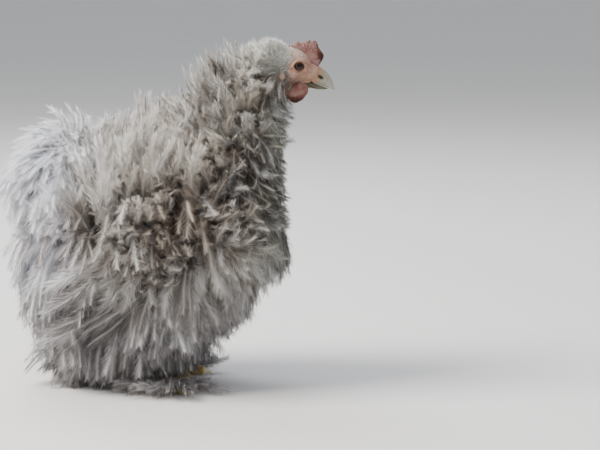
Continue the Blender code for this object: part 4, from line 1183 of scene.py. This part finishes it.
@dataclass
class Coat:
    """Feathers of one region, held as the points of their shafts until they are grown."""

    name: str
    node: str
    slot: str
    # Real barbs stand about 0.3 mm apart, too fine to show, so these are fewer and wider
    spacing: float = 0.0013
    barb_width: float = 0.0009
    quill_points: int = 5
    feathers: list = field(default_factory=list)

    def add(self, root, normal, lie, plume, u, v, tone=None, swing=0.38, sink=0.0015, roll=0.45):
        """One feather, as a shaft that bends from the skin to its tip. u and v are its root's place on
        the coat's map, swing and roll how far chance turns its lie and its blade, and sink its depth."""
        lie = lie - normal * lie.dot(normal)
        if lie.length < 1e-5:
            lie = normal.orthogonal()
        lie.normalize()
        lie = Matrix.Rotation(vary(-swing, swing), 3, normal) @ lie
        side = lie.cross(normal).normalized()
        side = Matrix.Rotation(vary(-roll, roll), 3, (normal + lie).normalized()) @ side
        length = plume.length * vary(0.80, 1.14)
        half_width = plume.width / 2 * vary(0.85, 1.15)
        drift = vary(-0.22, 0.22)
        curl = vary(0.7, 1.25)
        wave = vary(0.0, 0.28) * plume.frizz
        phase = vary(0, math.tau)
        lean = noise.noise_vector(root / LOCK_SIZE) * LOCK_LEAN * plume.frizz
        lean -= normal * lean.dot(normal) * 0.5
        point = root - normal * sink
        points = [point]
        headings = []
        for step in range(SHAFT_STEPS):
            share = (step + 0.5) / SHAFT_STEPS
            if share < 0.5:
                out, on = (mixed(plume.root[i], plume.middle[i], share * 2) for i in (0, 1))
            else:
                out, on = (mixed(plume.middle[i], plume.tip[i], (share * 2 - 1) * curl) for i in (0, 1))
            sway = side * (drift * share + wave * math.sin(phase + 7.5 * share))
            drop = Vector((0, 0, -plume.fall * share))
            sway = sway + drop + lean * share
            out += wave * math.cos(phase + 6.0 * share)
            heading = (normal * out + lie * on + sway).normalized()
            point = point + heading * (length / SHAFT_STEPS)
            if point.z < FLOOR_ROOM:
                point.z = FLOOR_ROOM + 0.0006 * chance()
            points.append(point)
            headings.append(heading)
        headings.append(headings[-1])
        tone = chance() if tone is None else tone
        left, low, wide, high = TILES[self.node]
        root_map = (left + (u % 1.0) * wide, low + v * high)
        self.feathers.append((points, headings, side, half_width, plume, tone, root_map))

    def grow(self, tree, material):
        """The region's plain meshes, each under the limit on triangles."""
        batches = [[]]
        count = 0
        for feather in self.feathers:
            plume = feather[4]
            size = PAIR_TRIANGLES * (plume.length * 1.1 / self.spacing + 1) + QUILL_TRIANGLES
            if count + size > MOST_TRIANGLES:
                batches.append([])
                count = 0
            batches[-1].append(feather)
            count += size
        return [self.grow_batch(batch, i + 1, tree, material) for i, batch in enumerate(batches)]

    def grow_batch(self, batch, number, tree, material):
        points = []
        edges = []
        keys = ("way_left", "way_right", "up", "barb_size", "along", "tone", "quill", "root_map")
        values = {key: [] for key in keys}
        for path, headings, side, half_width, plume, tone, (u, v) in batch:
            for i, point in enumerate(path):
                share = i / SHAFT_STEPS
                heading = headings[i]
                across = (side - heading * side.dot(heading)).normalized()
                up = across.cross(heading).normalized()
                angle = math.radians(mixed(plume.open, plume.shut, share**0.8))
                angle *= vary(0.85, 1.15)
                outline = math.sin(math.pi * mixed(0.18, 0.91, share)) ** 0.7
                length = half_width * outline / math.sin(angle)
                length *= 1 + plume.ragged * vary(-0.4, 0.4)
                width = self.barb_width * mixed(1.0, 0.75, share)
                lift = plume.ragged * 0.4
                for name, turn in (("way_left", -1), ("way_right", 1)):
                    way = heading * math.cos(angle) + across * (turn * math.sin(angle))
                    values[name].append((way + up * vary(-lift, lift)).normalized())
                points.append(tuple(point))
                values["up"].append(up)
                values["barb_size"].append((length, width, BARB_THICKNESS))
                values["along"].append(share)
                values["tone"].append(tone)
                values["quill"].append(plume.quill * mixed(1.0, 0.25, share))
                values["root_map"].append((u, v, 0.0))
                if i:
                    edges.append((len(points) - 2, len(points) - 1))
        inputs = {"Material": material, "Barb Spacing": self.spacing, "Quill Points": self.quill_points}
        return grown(f"{self.name}_{number}", points, edges, values, tree, inputs)


def roots_on(egg, count, crowding=1.0):
    """Roots spread over an egg, on a spiral from its top down: place, normal and place on its map."""
    golden = math.pi * (3 - math.sqrt(5))
    for i in range(count):
        z = 1 - 2 * ((i + vary(0.2, 0.8)) / count) ** crowding
        across = math.sqrt(max(1 - z * z, 0))
        turn = golden * i + vary(-0.02, 0.02)
        heading = Vector((across * math.cos(turn), across * math.sin(turn), z))
        root = egg.point(heading)
        yield root, egg.normal(root), turn / math.tau % 1.0, (1 + z) / 2


def inside_neck(point, room=0.0):
    """Whether a point lies deeper than some room inside the neck."""
    if point.z < 0.118:
        return False
    stations = (-0.10 + 1.10 * i / 27 for i in range(28))
    return any((point - neck_centre(t)).length < neck_radius(t) - room for t in stations)


def on_wing(point):
    """Whether a point of the torso lies under a wing, whose own coat covers it."""
    if abs(point.y) < TORSO_HALF.y * 0.45:
        return False
    along, across = wing_place(point)
    return math.hypot(along / WING_HALF[0], across / WING_HALF[1]) < (0.92 if across < 0 else 0.78)


def near_bow(point):
    """How near a point is to the line of curled shafts over the wing bow, 1 on it."""
    place = Vector((point.x, 0, point.z))
    away = min((place - along_path(BOW_LINE, i / 20)).length for i in range(21))
    return between(away, 0.011, 0.003)


def torso_coat():
    """Curled saddle on top, hanging flanks and skirt, smooth breast, and fluff underneath."""
    coat = Coat("coat_torso", "torso", "body_plumage")
    for root, normal, u, v in roots_on(TORSO, TORSO_ROOTS, 0.92):
        if inside_neck(root) or TAIL.level(root) < 0.96 or on_wing(root):
            continue
        front = max(min((root.x + 0.016) / 0.075, 1), -1)
        lie = Vector((0.45 * front - 0.12, 0, -1))
        ahead = max(normal.x, 0)
        behind = max(-normal.x, 0)
        low = max(-normal.z, 0)
        upward = between(root.x, 0.045, 0.010) * between(root.x, -0.100, -0.075)
        if normal.z + vary(-0.20, 0.10) > 0.78:  # the saddle, longer at the shoulders
            crest = 0.30 * between(root.x, -0.056, -0.068)
            plume = SADDLE.sized(mixed(0.74, 1.25, between(root.x, -0.06, 0.0)) + crest)
            lie = Vector((-0.5, normal.y, -0.3))
        elif normal.z > 0.10 and chance() < upward * 0.85:  # swept up over the side of the back
            plume = SWEEP
            lie = Vector((-0.15, 0, 1))
        else:  # flank and fluff, which turn into breast and keel in front, hang and skirt behind
            plume = FLANK.mixed(FLUFF, low**1.5)
            plume = plume.mixed(HANG, min(behind * 1.5, 1)).mixed(BREAST, min(ahead * 1.4, 1))
            plume = plume.mixed(KEEL, min(ahead * 1.5, 1) * between(root.z, 0.145, 0.110))
            plume = plume.mixed(SKIRT, min(behind * 1.6, 1) * between(root.z, 0.110, 0.075))
        plume = plume.sized(1 - 0.38 * ahead * low)
        hips = between(root.z, 0.165, 0.130) * between(root.z, 0.062, 0.085)
        plume = plume.sized(1 - 0.26 * behind * hips + 0.10 * behind * between(root.z, 0.075, 0.060))
        coat.add(root, normal, lie, plume, u, v)
        if 0.10 < normal.z < 0.93 and chance() < 0.5:
            coat.add(root, normal, lie, RUFF, u + SECOND, v, vary(-0.2, 0.6), swing=1.2)
        # Dark bow feathers near the bow line: partly their own brown, partly painted shade in the gaps
        # among the curls
        if abs(normal.y) > 0.3 and chance() < near_bow(root - Vector((0.008, 0, 0))):
            coat.add(root, normal, lie, BOW, u - SECOND, v, vary(-0.6, 0.3), swing=1.2)
        if abs(normal.y) > 0.3 and chance() < near_bow(root) * 0.4:
            coat.add(root, normal, lie, CURL, u, v, vary(0.3, 0.8), swing=1.5)
    return coat


def neck_coat():
    """The hackle: frizzled at the nape, smooth down the throat, with loose strands at the sides."""
    coat = Coat("coat_neck", "neck", "hackle_plumage", spacing=0.0012, barb_width=0.0008)
    for row in range(NECK_ROWS):
        share = row / (NECK_ROWS - 1)
        t = mixed(-0.28, 0.98, share)
        radius = neck_radius(t)
        count = max(int(math.tau * radius / NECK_SPACING), 14)
        along = neck_along(t)
        ring = ring_at(neck_centre(t), along, radius, count * 2, 0.96)
        for i in range(row % 2, count * 2, 2):
            root = ring[i] + along * vary(-0.002, 0.002)
            if TORSO.level(root) < 0.98 or HEAD.level(root) < 0.9:
                continue
            normal = (ring[i] - neck_centre(t)).normalized()
            behind = max(-normal.x, 0)
            ahead = max(normal.x, 0)
            u = i / (count * 2)
            frizzled = mixed(0.25, 1.2, behind) - 0.6 * ahead - 0.5 * between(root.x, 0.074, 0.084)
            if chance() < frizzled:
                size = mixed(mixed(0.78, 1.18, behind), 0.62, ahead)
                plume = NAPE.sized(size * mixed(1.0, 0.70, between(share, 0.82, 0.93)))
                swing = 0.85
            else:
                tucked = min(ahead * 1.3, 1) * between(share, 0.30, 0.12)
                plume = HACKLE.mixed(THROAT, ahead).mixed(TUCK, tucked)
                size = mixed(1.12, 0.80, share) * mixed(1.0, 0.75, between(root.x, 0.078, 0.088))
                plume = plume.sized(size).sized(1 - 0.30 * ahead * between(share, 0.34, 0.14))
                swing = mixed(0.45, 0.25, ahead)
            lie = Vector((mixed(0.5, 0.15, share) * abs(normal.y), 0, 0)) - along
            coat.add(root, normal, lie, plume, u, share, swing=swing)
            if abs(normal.y) > 0.5 and root.x < 0.080 and chance() < 0.26:
                tone = vary(0.3, 1.0)
                coat.add(root, normal, lie, RUFF.sized(0.95), u + SECOND, share, tone, swing=2.6)
                continue
            beside = abs(normal.y) > 0.6 and root.x < 0.070 and 0.20 < share < 0.75
            if beside and chance() < 0.34:
                tone = vary(0.0, 0.8)
                coat.add(root, normal, Vector((0.7, 0, -1)), STRAND, u + SECOND, share, tone, swing=0.5)
    return coat


def bare_face(point):
    """How far before the coat's edge, which runs from behind the comb to behind the wattles."""
    edge = 0.0945 + 0.0025 * between(point.z, 0.2500, 0.2590) + 0.0020 * grain(point, 0.006, 9.0)
    return point.x - edge


def crop_coat(surface):
    """Close feathers over the crop, where the foot of the neck swells out over the breast."""
    coat = Coat("coat_crop", "torso", "body_plumage")
    for row in range(CROP_ROWS):
        for i in range(CROP_COLUMNS):
            across = mixed(-0.040, 0.040, (i + 0.5 * (row % 2)) / (CROP_COLUMNS - 0.5))
            start = Vector((0.2, across, 0.1120 + 0.0044 * row + vary(-0.001, 0.001)))
            root, normal, _, _ = surface.ray_cast(start, Vector((-1, 0, 0)))
            if root is None:
                continue
            u = math.atan2(root.y, root.x) / math.tau % 1
            v = 0.5 + (root.z - TORSO_CENTRE.z) / TORSO_HALF.z / 2
            plume = TUCK.sized(0.60)
            coat.add(root, normal, Vector((0, 0, -1)), plume, u, v, vary(-0.1, 0.7), swing=0.3)
    return coat


def head_coat(surface):
    """Short feathers over the skull, longer behind it, and sparse bristles on the bare face."""
    coat = Coat("coat_head", "head", "hackle_plumage", spacing=0.0008, barb_width=0.0005)
    for root, normal, u, v in roots_on(HEAD, HEAD_ROOTS):
        if bare_face(root) > 0.0060 * chance() ** 2 or inside_neck(root, 0.004):
            continue
        behind = between(root.x, 0.0975, 0.0795)
        high = max(normal.z, 0)
        plume = CHEEK.mixed(CROWN, min(behind * 1.5 + high * 0.4, 1))
        plume = plume.mixed(NAPE, max(behind - 0.35, 0) * 0.56)
        size = mixed(0.28, 1.0, between(root.x, 0.0975, 0.0800))
        plume = plume.sized(size * (1 - 0.35 * behind * high))
        lie = Vector((-1, 0, -0.45 + 0.5 * normal.z))
        tone = vary(0.3, 1.0) - 0.5 * between(root.z, 0.256, 0.242)
        coat.add(root, normal, lie, plume, u, v, tone, sink=0.0006, swing=0.4)
    for side in SIDES.values():
        for _ in range(FACE_BRISTLES):
            reach = chance() ** 2.0
            start = Vector((mixed(0.0900, 0.1110, reach), 0.03 * side, vary(0.2325, 0.2640)))
            if math.hypot(start.x - EYE_CENTRE.x, start.z - EYE_CENTRE.z) < 0.0062:
                continue
            root, normal, _, _ = surface.ray_cast(start, Vector((0, -side, 0)))
            if root is None or normal.y * side < 0.3:
                continue
            plume = BRISTLE.sized(mixed(1.2, 0.4, reach))
            u, v = chance(), chance()
            tone = mixed(-0.35, 0.35, between(root.z, 0.246, 0.258)) + vary(-0.1, 0.1)
            coat.add(root, normal, Vector((-0.85, 0, -0.45)), plume, u, v, tone, sink=0.0003)
    return coat


def tail_coat():
    """The soft cushion of the tail, with three tiers of tail feathers fanned round its axis."""
    coat = Coat("coat_tail", "tail", "tail_plumage")
    for root, normal, u, v in roots_on(TAIL, TAIL_ROOTS):
        if TORSO.level(root) < 0.99:
            continue
        lie = Vector((-0.30, 0, -1))
        plume = CUSHION.mixed(CREST, between(normal.z, 0.1, 0.7)).sized(1 - 0.15 * max(-normal.x, 0))
        coat.add(root, normal, lie, plume, u, v, vary(0.55, 1.0))
    upright = TAIL_AXIS.cross(Vector((0, 1, 0)))
    for tier in range(TAIL_TIERS):
        for i in range(TAIL_FAN):
            turn = math.radians(118) * (2 * (i + 0.5 * (tier % 2)) / (TAIL_FAN - 0.5) - 1)
            across = Vector((0, math.sin(turn), 0)) + upright * math.cos(turn)
            normal = (TAIL_AXIS * (0.9 - 0.3 * tier) + across * (0.45 + 0.18 * tier)).normalized()
            root = TAIL.point(normal)
            plume = TAIL_FEATHER.sized(0.90 - 0.07 * tier)
            u, v = turn / math.tau + 0.5, 0.9 - 0.1 * tier
            coat.add(root, normal, Vector((-0.2, 0, -1)), plume, u, v, vary(0.4, 1.0))
    return coat


def wing_coat(side_name):
    """Two tiers of flight feathers under rows of coverts, a fringe below, and the curled bow above."""
    side = SIDES[side_name]
    node = f"wing_{side_name}"
    coat = Coat(f"coat_{node}", node, "wing_plumage", spacing=0.0011, quill_points=10)

    def grow(along, across, plume, slope, tone=None, swing=0.12, lift=0.0, roll=0.15):
        edge = 0.96 * WING_HALF[0] * math.sqrt(max(1 - (across / WING_HALF[1]) ** 2, 0.01))
        along = max(min(along, edge), -edge)
        place = wing_point(along, across)
        place.y = (flank_y(place) - WING_SUNK + wing_thickness(along, across) + lift) * side
        out = Vector((0, side, 0))
        lie = Vector((-math.cos(slope), 0, -math.sin(slope)))
        u = 0.5 + along / WING_HALF[0] / 2.2
        v = 0.5 + across / WING_HALF[1] / 2.2
        coat.add(place, out, lie, plume, u, v, tone, swing, sink=0.002, roll=roll)

    for tier in range(FLIGHT_TIERS):
        for i in range(FLIGHTS):
            share = i / (FLIGHTS - 1)
            across = WING_HALF[1] * mixed(-1.20, 0.35, share)
            slope = math.radians(29) + math.radians(12) * (0.5 - share) + (-0.05, 0.03, 0.02)[i % 3]
            plume = FLIGHT.sized((1.06 - 0.26 * share) * (1 - 0.22 * tier))
            # Every fourth flight is dark: painted shade, as the dark gap line between flights
            tone = vary(-0.1, 0.1) if i % 4 == 1 else vary(0.45, 0.85)
            grow(0.026 - 0.020 * share - 0.012 * tier, across, plume, slope, tone, 0.07, 0.0015 * tier)
    for row in range(COVERT_ROWS):
        for i in range(COVERTS):
            share = (i + 0.5 * (row % 2)) / (COVERTS - 0.5)
            along = 0.006 - 0.015 * row - 0.008 * share
            across = WING_HALF[1] * mixed(-0.85, 0.85, share)
            grow(along, across, COVERT, WING_SLOPE + 0.3 * share, swing=0.5, roll=0.4)
    for i in range(WING_FRINGES):
        across = WING_HALF[1] * vary(-0.98, -0.80)
        slope = math.radians(vary(68, 98))
        grow(mixed(-0.050, 0.030, i / (WING_FRINGES - 1)), across, FRINGE, slope, swing=0.35, roll=0.4)
    for _ in range(WING_RUFFS):
        along = vary(-0.052, 0.006)
        across = WING_HALF[1] * vary(0.60, 0.99)
        slope = math.radians(vary(60, 150))
        grow(along, across, RUFF, slope, vary(0.3, 1.0), swing=1.0, roll=0.9)
    for _ in range(BOW_FEATHERS):
        along = vary(-0.052, 0.002)
        across = WING_HALF[1] * vary(-0.75, 0.99)
        near = near_bow(wing_point(along, across))
        # Bow feathers darken towards the bow line: partly their own brown, partly painted shade among the
        # curls
        plume, tone = BOW, vary(-0.1, 0.7) - 0.5 * near
        if chance() < near * 0.3:
            plume, tone = CURL, vary(0.3, 0.8)
        grow(along, across, plume, math.radians(vary(10, 110)), tone, swing=1.2, roll=0.9)
    return coat


def leg_coat(side_name):
    """Fluff round the thigh and hock, and fans of stiff feathers on the outer and middle toes."""
    side = SIDES[side_name]
    coat = Coat(f"coat_leg_{side_name}", f"thigh_{side_name}", "body_plumage")
    for row in range(HOCK_ROWS):
        share = 0.35 + 0.62 * row / (HOCK_ROWS - 1)
        centre, radius = thigh_place(side, share)
        plume = HOCK_FLUFF.sized(mixed(1.2, 0.75, share))
        for i in range(HOCK_ROUND):
            angle = math.tau * (i + 0.5 * (row % 2)) / HOCK_ROUND
            normal = Vector((math.cos(angle), math.sin(angle), 0))
            root = centre + normal * radius
            coat.add(root, normal, Vector((0, 0, -1)), plume, angle / math.tau, row / HOCK_ROWS)
    for toe, count, first, last in ((2, 12, 52, 150), (0, 9, 24, 80)):
        _, heading, length = TOES[toe]
        path, _ = toe_line(side, heading, length)
        for tier in range(2):
            plume = FOOT_FEATHER.sized(1 - 0.2 * tier)
            for i in range(count):
                share = (i + 0.5 * tier) / (count - 0.5)
                angle = math.radians(mixed(first, last, share))
                normal = Vector((math.cos(angle), math.sin(angle) * side, 0.05)).normalized()
                lie = Vector((-math.sin(angle), math.cos(angle) * side, 0))
                root = path[0].lerp(path[-1], 0.72 * (1 - share))
                root += Vector((0, 0, 0.0012 + 0.0016 * tier))
                coat.add(root, normal, lie, plume, share, 0.93, swing=0.15, sink=0.0, roll=0.2)
    return coat


# Studio

def studio():
    """A pale floor, a large soft light from above and behind the camera's left, and a dim sky."""
    mesh = bpy.data.meshes.new("floor")
    reach = 30.0
    corners = [(-reach, -reach, 0), (reach, -reach, 0), (reach, reach, 0), (-reach, reach, 0)]
    mesh.from_pydata(corners, [], [(0, 1, 2, 3)])
    mesh.materials.append(floor_finish())
    new_object("floor", mesh)
    for name, place, size, power, code in (
        ("key", (-1.6, -0.55, 1.8), 1.4, 88.0, "FFFBF6"),
        ("fill", (0.7, -2.2, 1.1), 1.8, 16.0, "F0F4FF"),
        ("rim", (-0.5, 1.4, 1.8), 1.2, 24.0, "F2F5FF"),
    ):
        data = bpy.data.lights.new(name, "AREA")
        data.energy = power
        data.size = size
        data.color = srgb(code)[:3]
        lamp = new_object(name, data)
        lamp.location = place
        lamp.visible_glossy = name != "fill"
        towards = Vector((0, 0, 0.13)) - Vector(place)
        lamp.rotation_euler = towards.to_track_quat("-Z", "Y").to_euler()
    scene = bpy.context.scene
    scene.world = bpy.data.worlds.new("studio")
    scene.world.use_nodes = True
    tree = scene.world.node_tree
    split = add(tree, "SeparateXYZ", {0: add(tree, "TexCoord", out="Generated")}, None).outputs
    sky = washed(tree, srgb("CDCFD2"), (split["Z"], 0.02, 0.45, 1.0, "EDF1F7"))
    background = tree.nodes["Background"]
    tree.links.new(sky, background.inputs["Color"])
    background.inputs["Strength"].default_value = 0.62
    scene.view_settings.view_transform = "AgX"
    scene.view_settings.look = "AgX - Medium High Contrast"


# The photograph shows the hen from her right side, from a little above
PHOTO_WIDTH = 600
METRES_PER_PIXEL = 0.00078
# Columns of the photograph: its middle, and the one that holds the hen's own zero
MIDDLE_COLUMN = 300
HEN_COLUMN = 165
CAMERA_AIM_Z = 0.125
CAMERA_DISTANCE = 1.7
CAMERA_RISE = math.radians(7)


def camera():
    """Looks at the hen's right side with the photograph's scale and framing."""
    data = bpy.data.cameras.new("camera")
    data.sensor_width = 36.0
    data.lens = data.sensor_width * CAMERA_DISTANCE / (PHOTO_WIDTH * METRES_PER_PIXEL)
    aim = SHIFT + Vector(((MIDDLE_COLUMN - HEN_COLUMN) * METRES_PER_PIXEL, 0, CAMERA_AIM_Z))
    back = Vector((0, -math.cos(CAMERA_RISE), math.sin(CAMERA_RISE)))
    made = new_object("camera", data)
    made.location = aim + back * CAMERA_DISTANCE
    made.rotation_euler = (-back).to_track_quat("-Z", "Y").to_euler()
    bpy.context.scene.camera = made


# Assembly

def dress(piece, slot, *nodes, material=None):
    """Moves a piece to the frame, gives it its finish, hangs it under the root, and hides the frame's parts
    that it stands for.
    """
    piece.data.transform(Matrix.Translation(SHIFT))
    if material:
        piece.data.materials.clear()
        piece.data.materials.append(material)
    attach(piece, "root")
    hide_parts(*nodes)


def main():
    camera()
    studio()
    skin_look = skin_finish()
    comb_look = comb_finish("comb_skin_granular", "937A73", "7D5048", "3C130F")
    wattle_look = comb_finish("wattle_skin_wrinkled", "8A6F66", "72433A", "3A100C")
    forward = (BEAK_TIP - GAPE).normalized()
    start = forward.dot(GAPE + SHIFT)
    upper_shades = ("887B5B", "A19D94", "6E6346")
    upper_look = horn_finish("beak_horn_pale", *upper_shades, forward, start, start + 0.016, nostril=True)
    lower_look = horn_finish("beak_horn_olive", "3B3A1F", "78745A", "2E2C18", forward, start, start + 0.018)
    claw_look = horn_finish("claw_horn_dry", "B8A27A", "DDD2BA", "927B55", Vector((1, 0, 0)), -0.02, 0.05)
    leg_look = leg_finish()
    feather_look = feather_finish()

    whole_skin = skin()
    mesh = whole_skin.data
    surface = BVHTree.FromPolygons([v.co for v in mesh.vertices], [p.vertices for p in mesh.polygons])
    flesh = ("head", "neck", "torso", "tail", "thigh_left", "thigh_right", "wing_left", "wing_right")
    dress(whole_skin, "face_skin", *flesh, material=skin_look)
    upper, lower = beak()
    dress(upper, "horn", "beak_upper", material=upper_look)
    dress(lower, "horn", "beak_lower", material=lower_look)
    dress(comb(), "comb_skin", "comb", material=comb_look)
    plates = plate_tree()
    for name, side in SIDES.items():
        dress(eyeball(name), "eye", f"eye_{name}", material=eye_finish(name))
        wattle = lappet(f"wattle_skin_{name}", WATTLE_CENTRE, WATTLE_HALF, side, 0.75)
        dress(wattle, "comb_skin", f"wattle_{name}", material=wattle_look)
        earlobe = lappet(f"earlobe_skin_{name}", EARLOBE_CENTRE, EARLOBE_HALF, side, 0.3)
        dress(earlobe, "face_skin", f"earlobe_{name}", material=skin_look)
        bare_leg = (f"shank_{name}", f"foot_{name}")
        dress(leg(name), "leg_scales", *bare_leg, material=leg_look)
        places, ways, outs, sizes = zip(*scute_places(side))
        held = {"way": ways, "up": outs, "size": sizes}
        scutes = grown(f"leg_plates_{name}", places, [], held, plates, {"Material": leg_look})
        dress(scutes, "leg_scales", *bare_leg)
        claw_nodes = [f"claw_{name}_{toe}" for toe, _, _ in TOES]
        dress(claws(name), "claw_horn", *claw_nodes, material=claw_look)

    tree = feather_tree()
    coats = [torso_coat(), neck_coat(), head_coat(surface), tail_coat()]
    for name in SIDES:
        coats += [wing_coat(name), leg_coat(name)]
    coats.append(crop_coat(surface))
    for coat in coats:
        for piece in coat.grow(tree, feather_look):
            dress(piece, coat.slot, coat.node)


main()
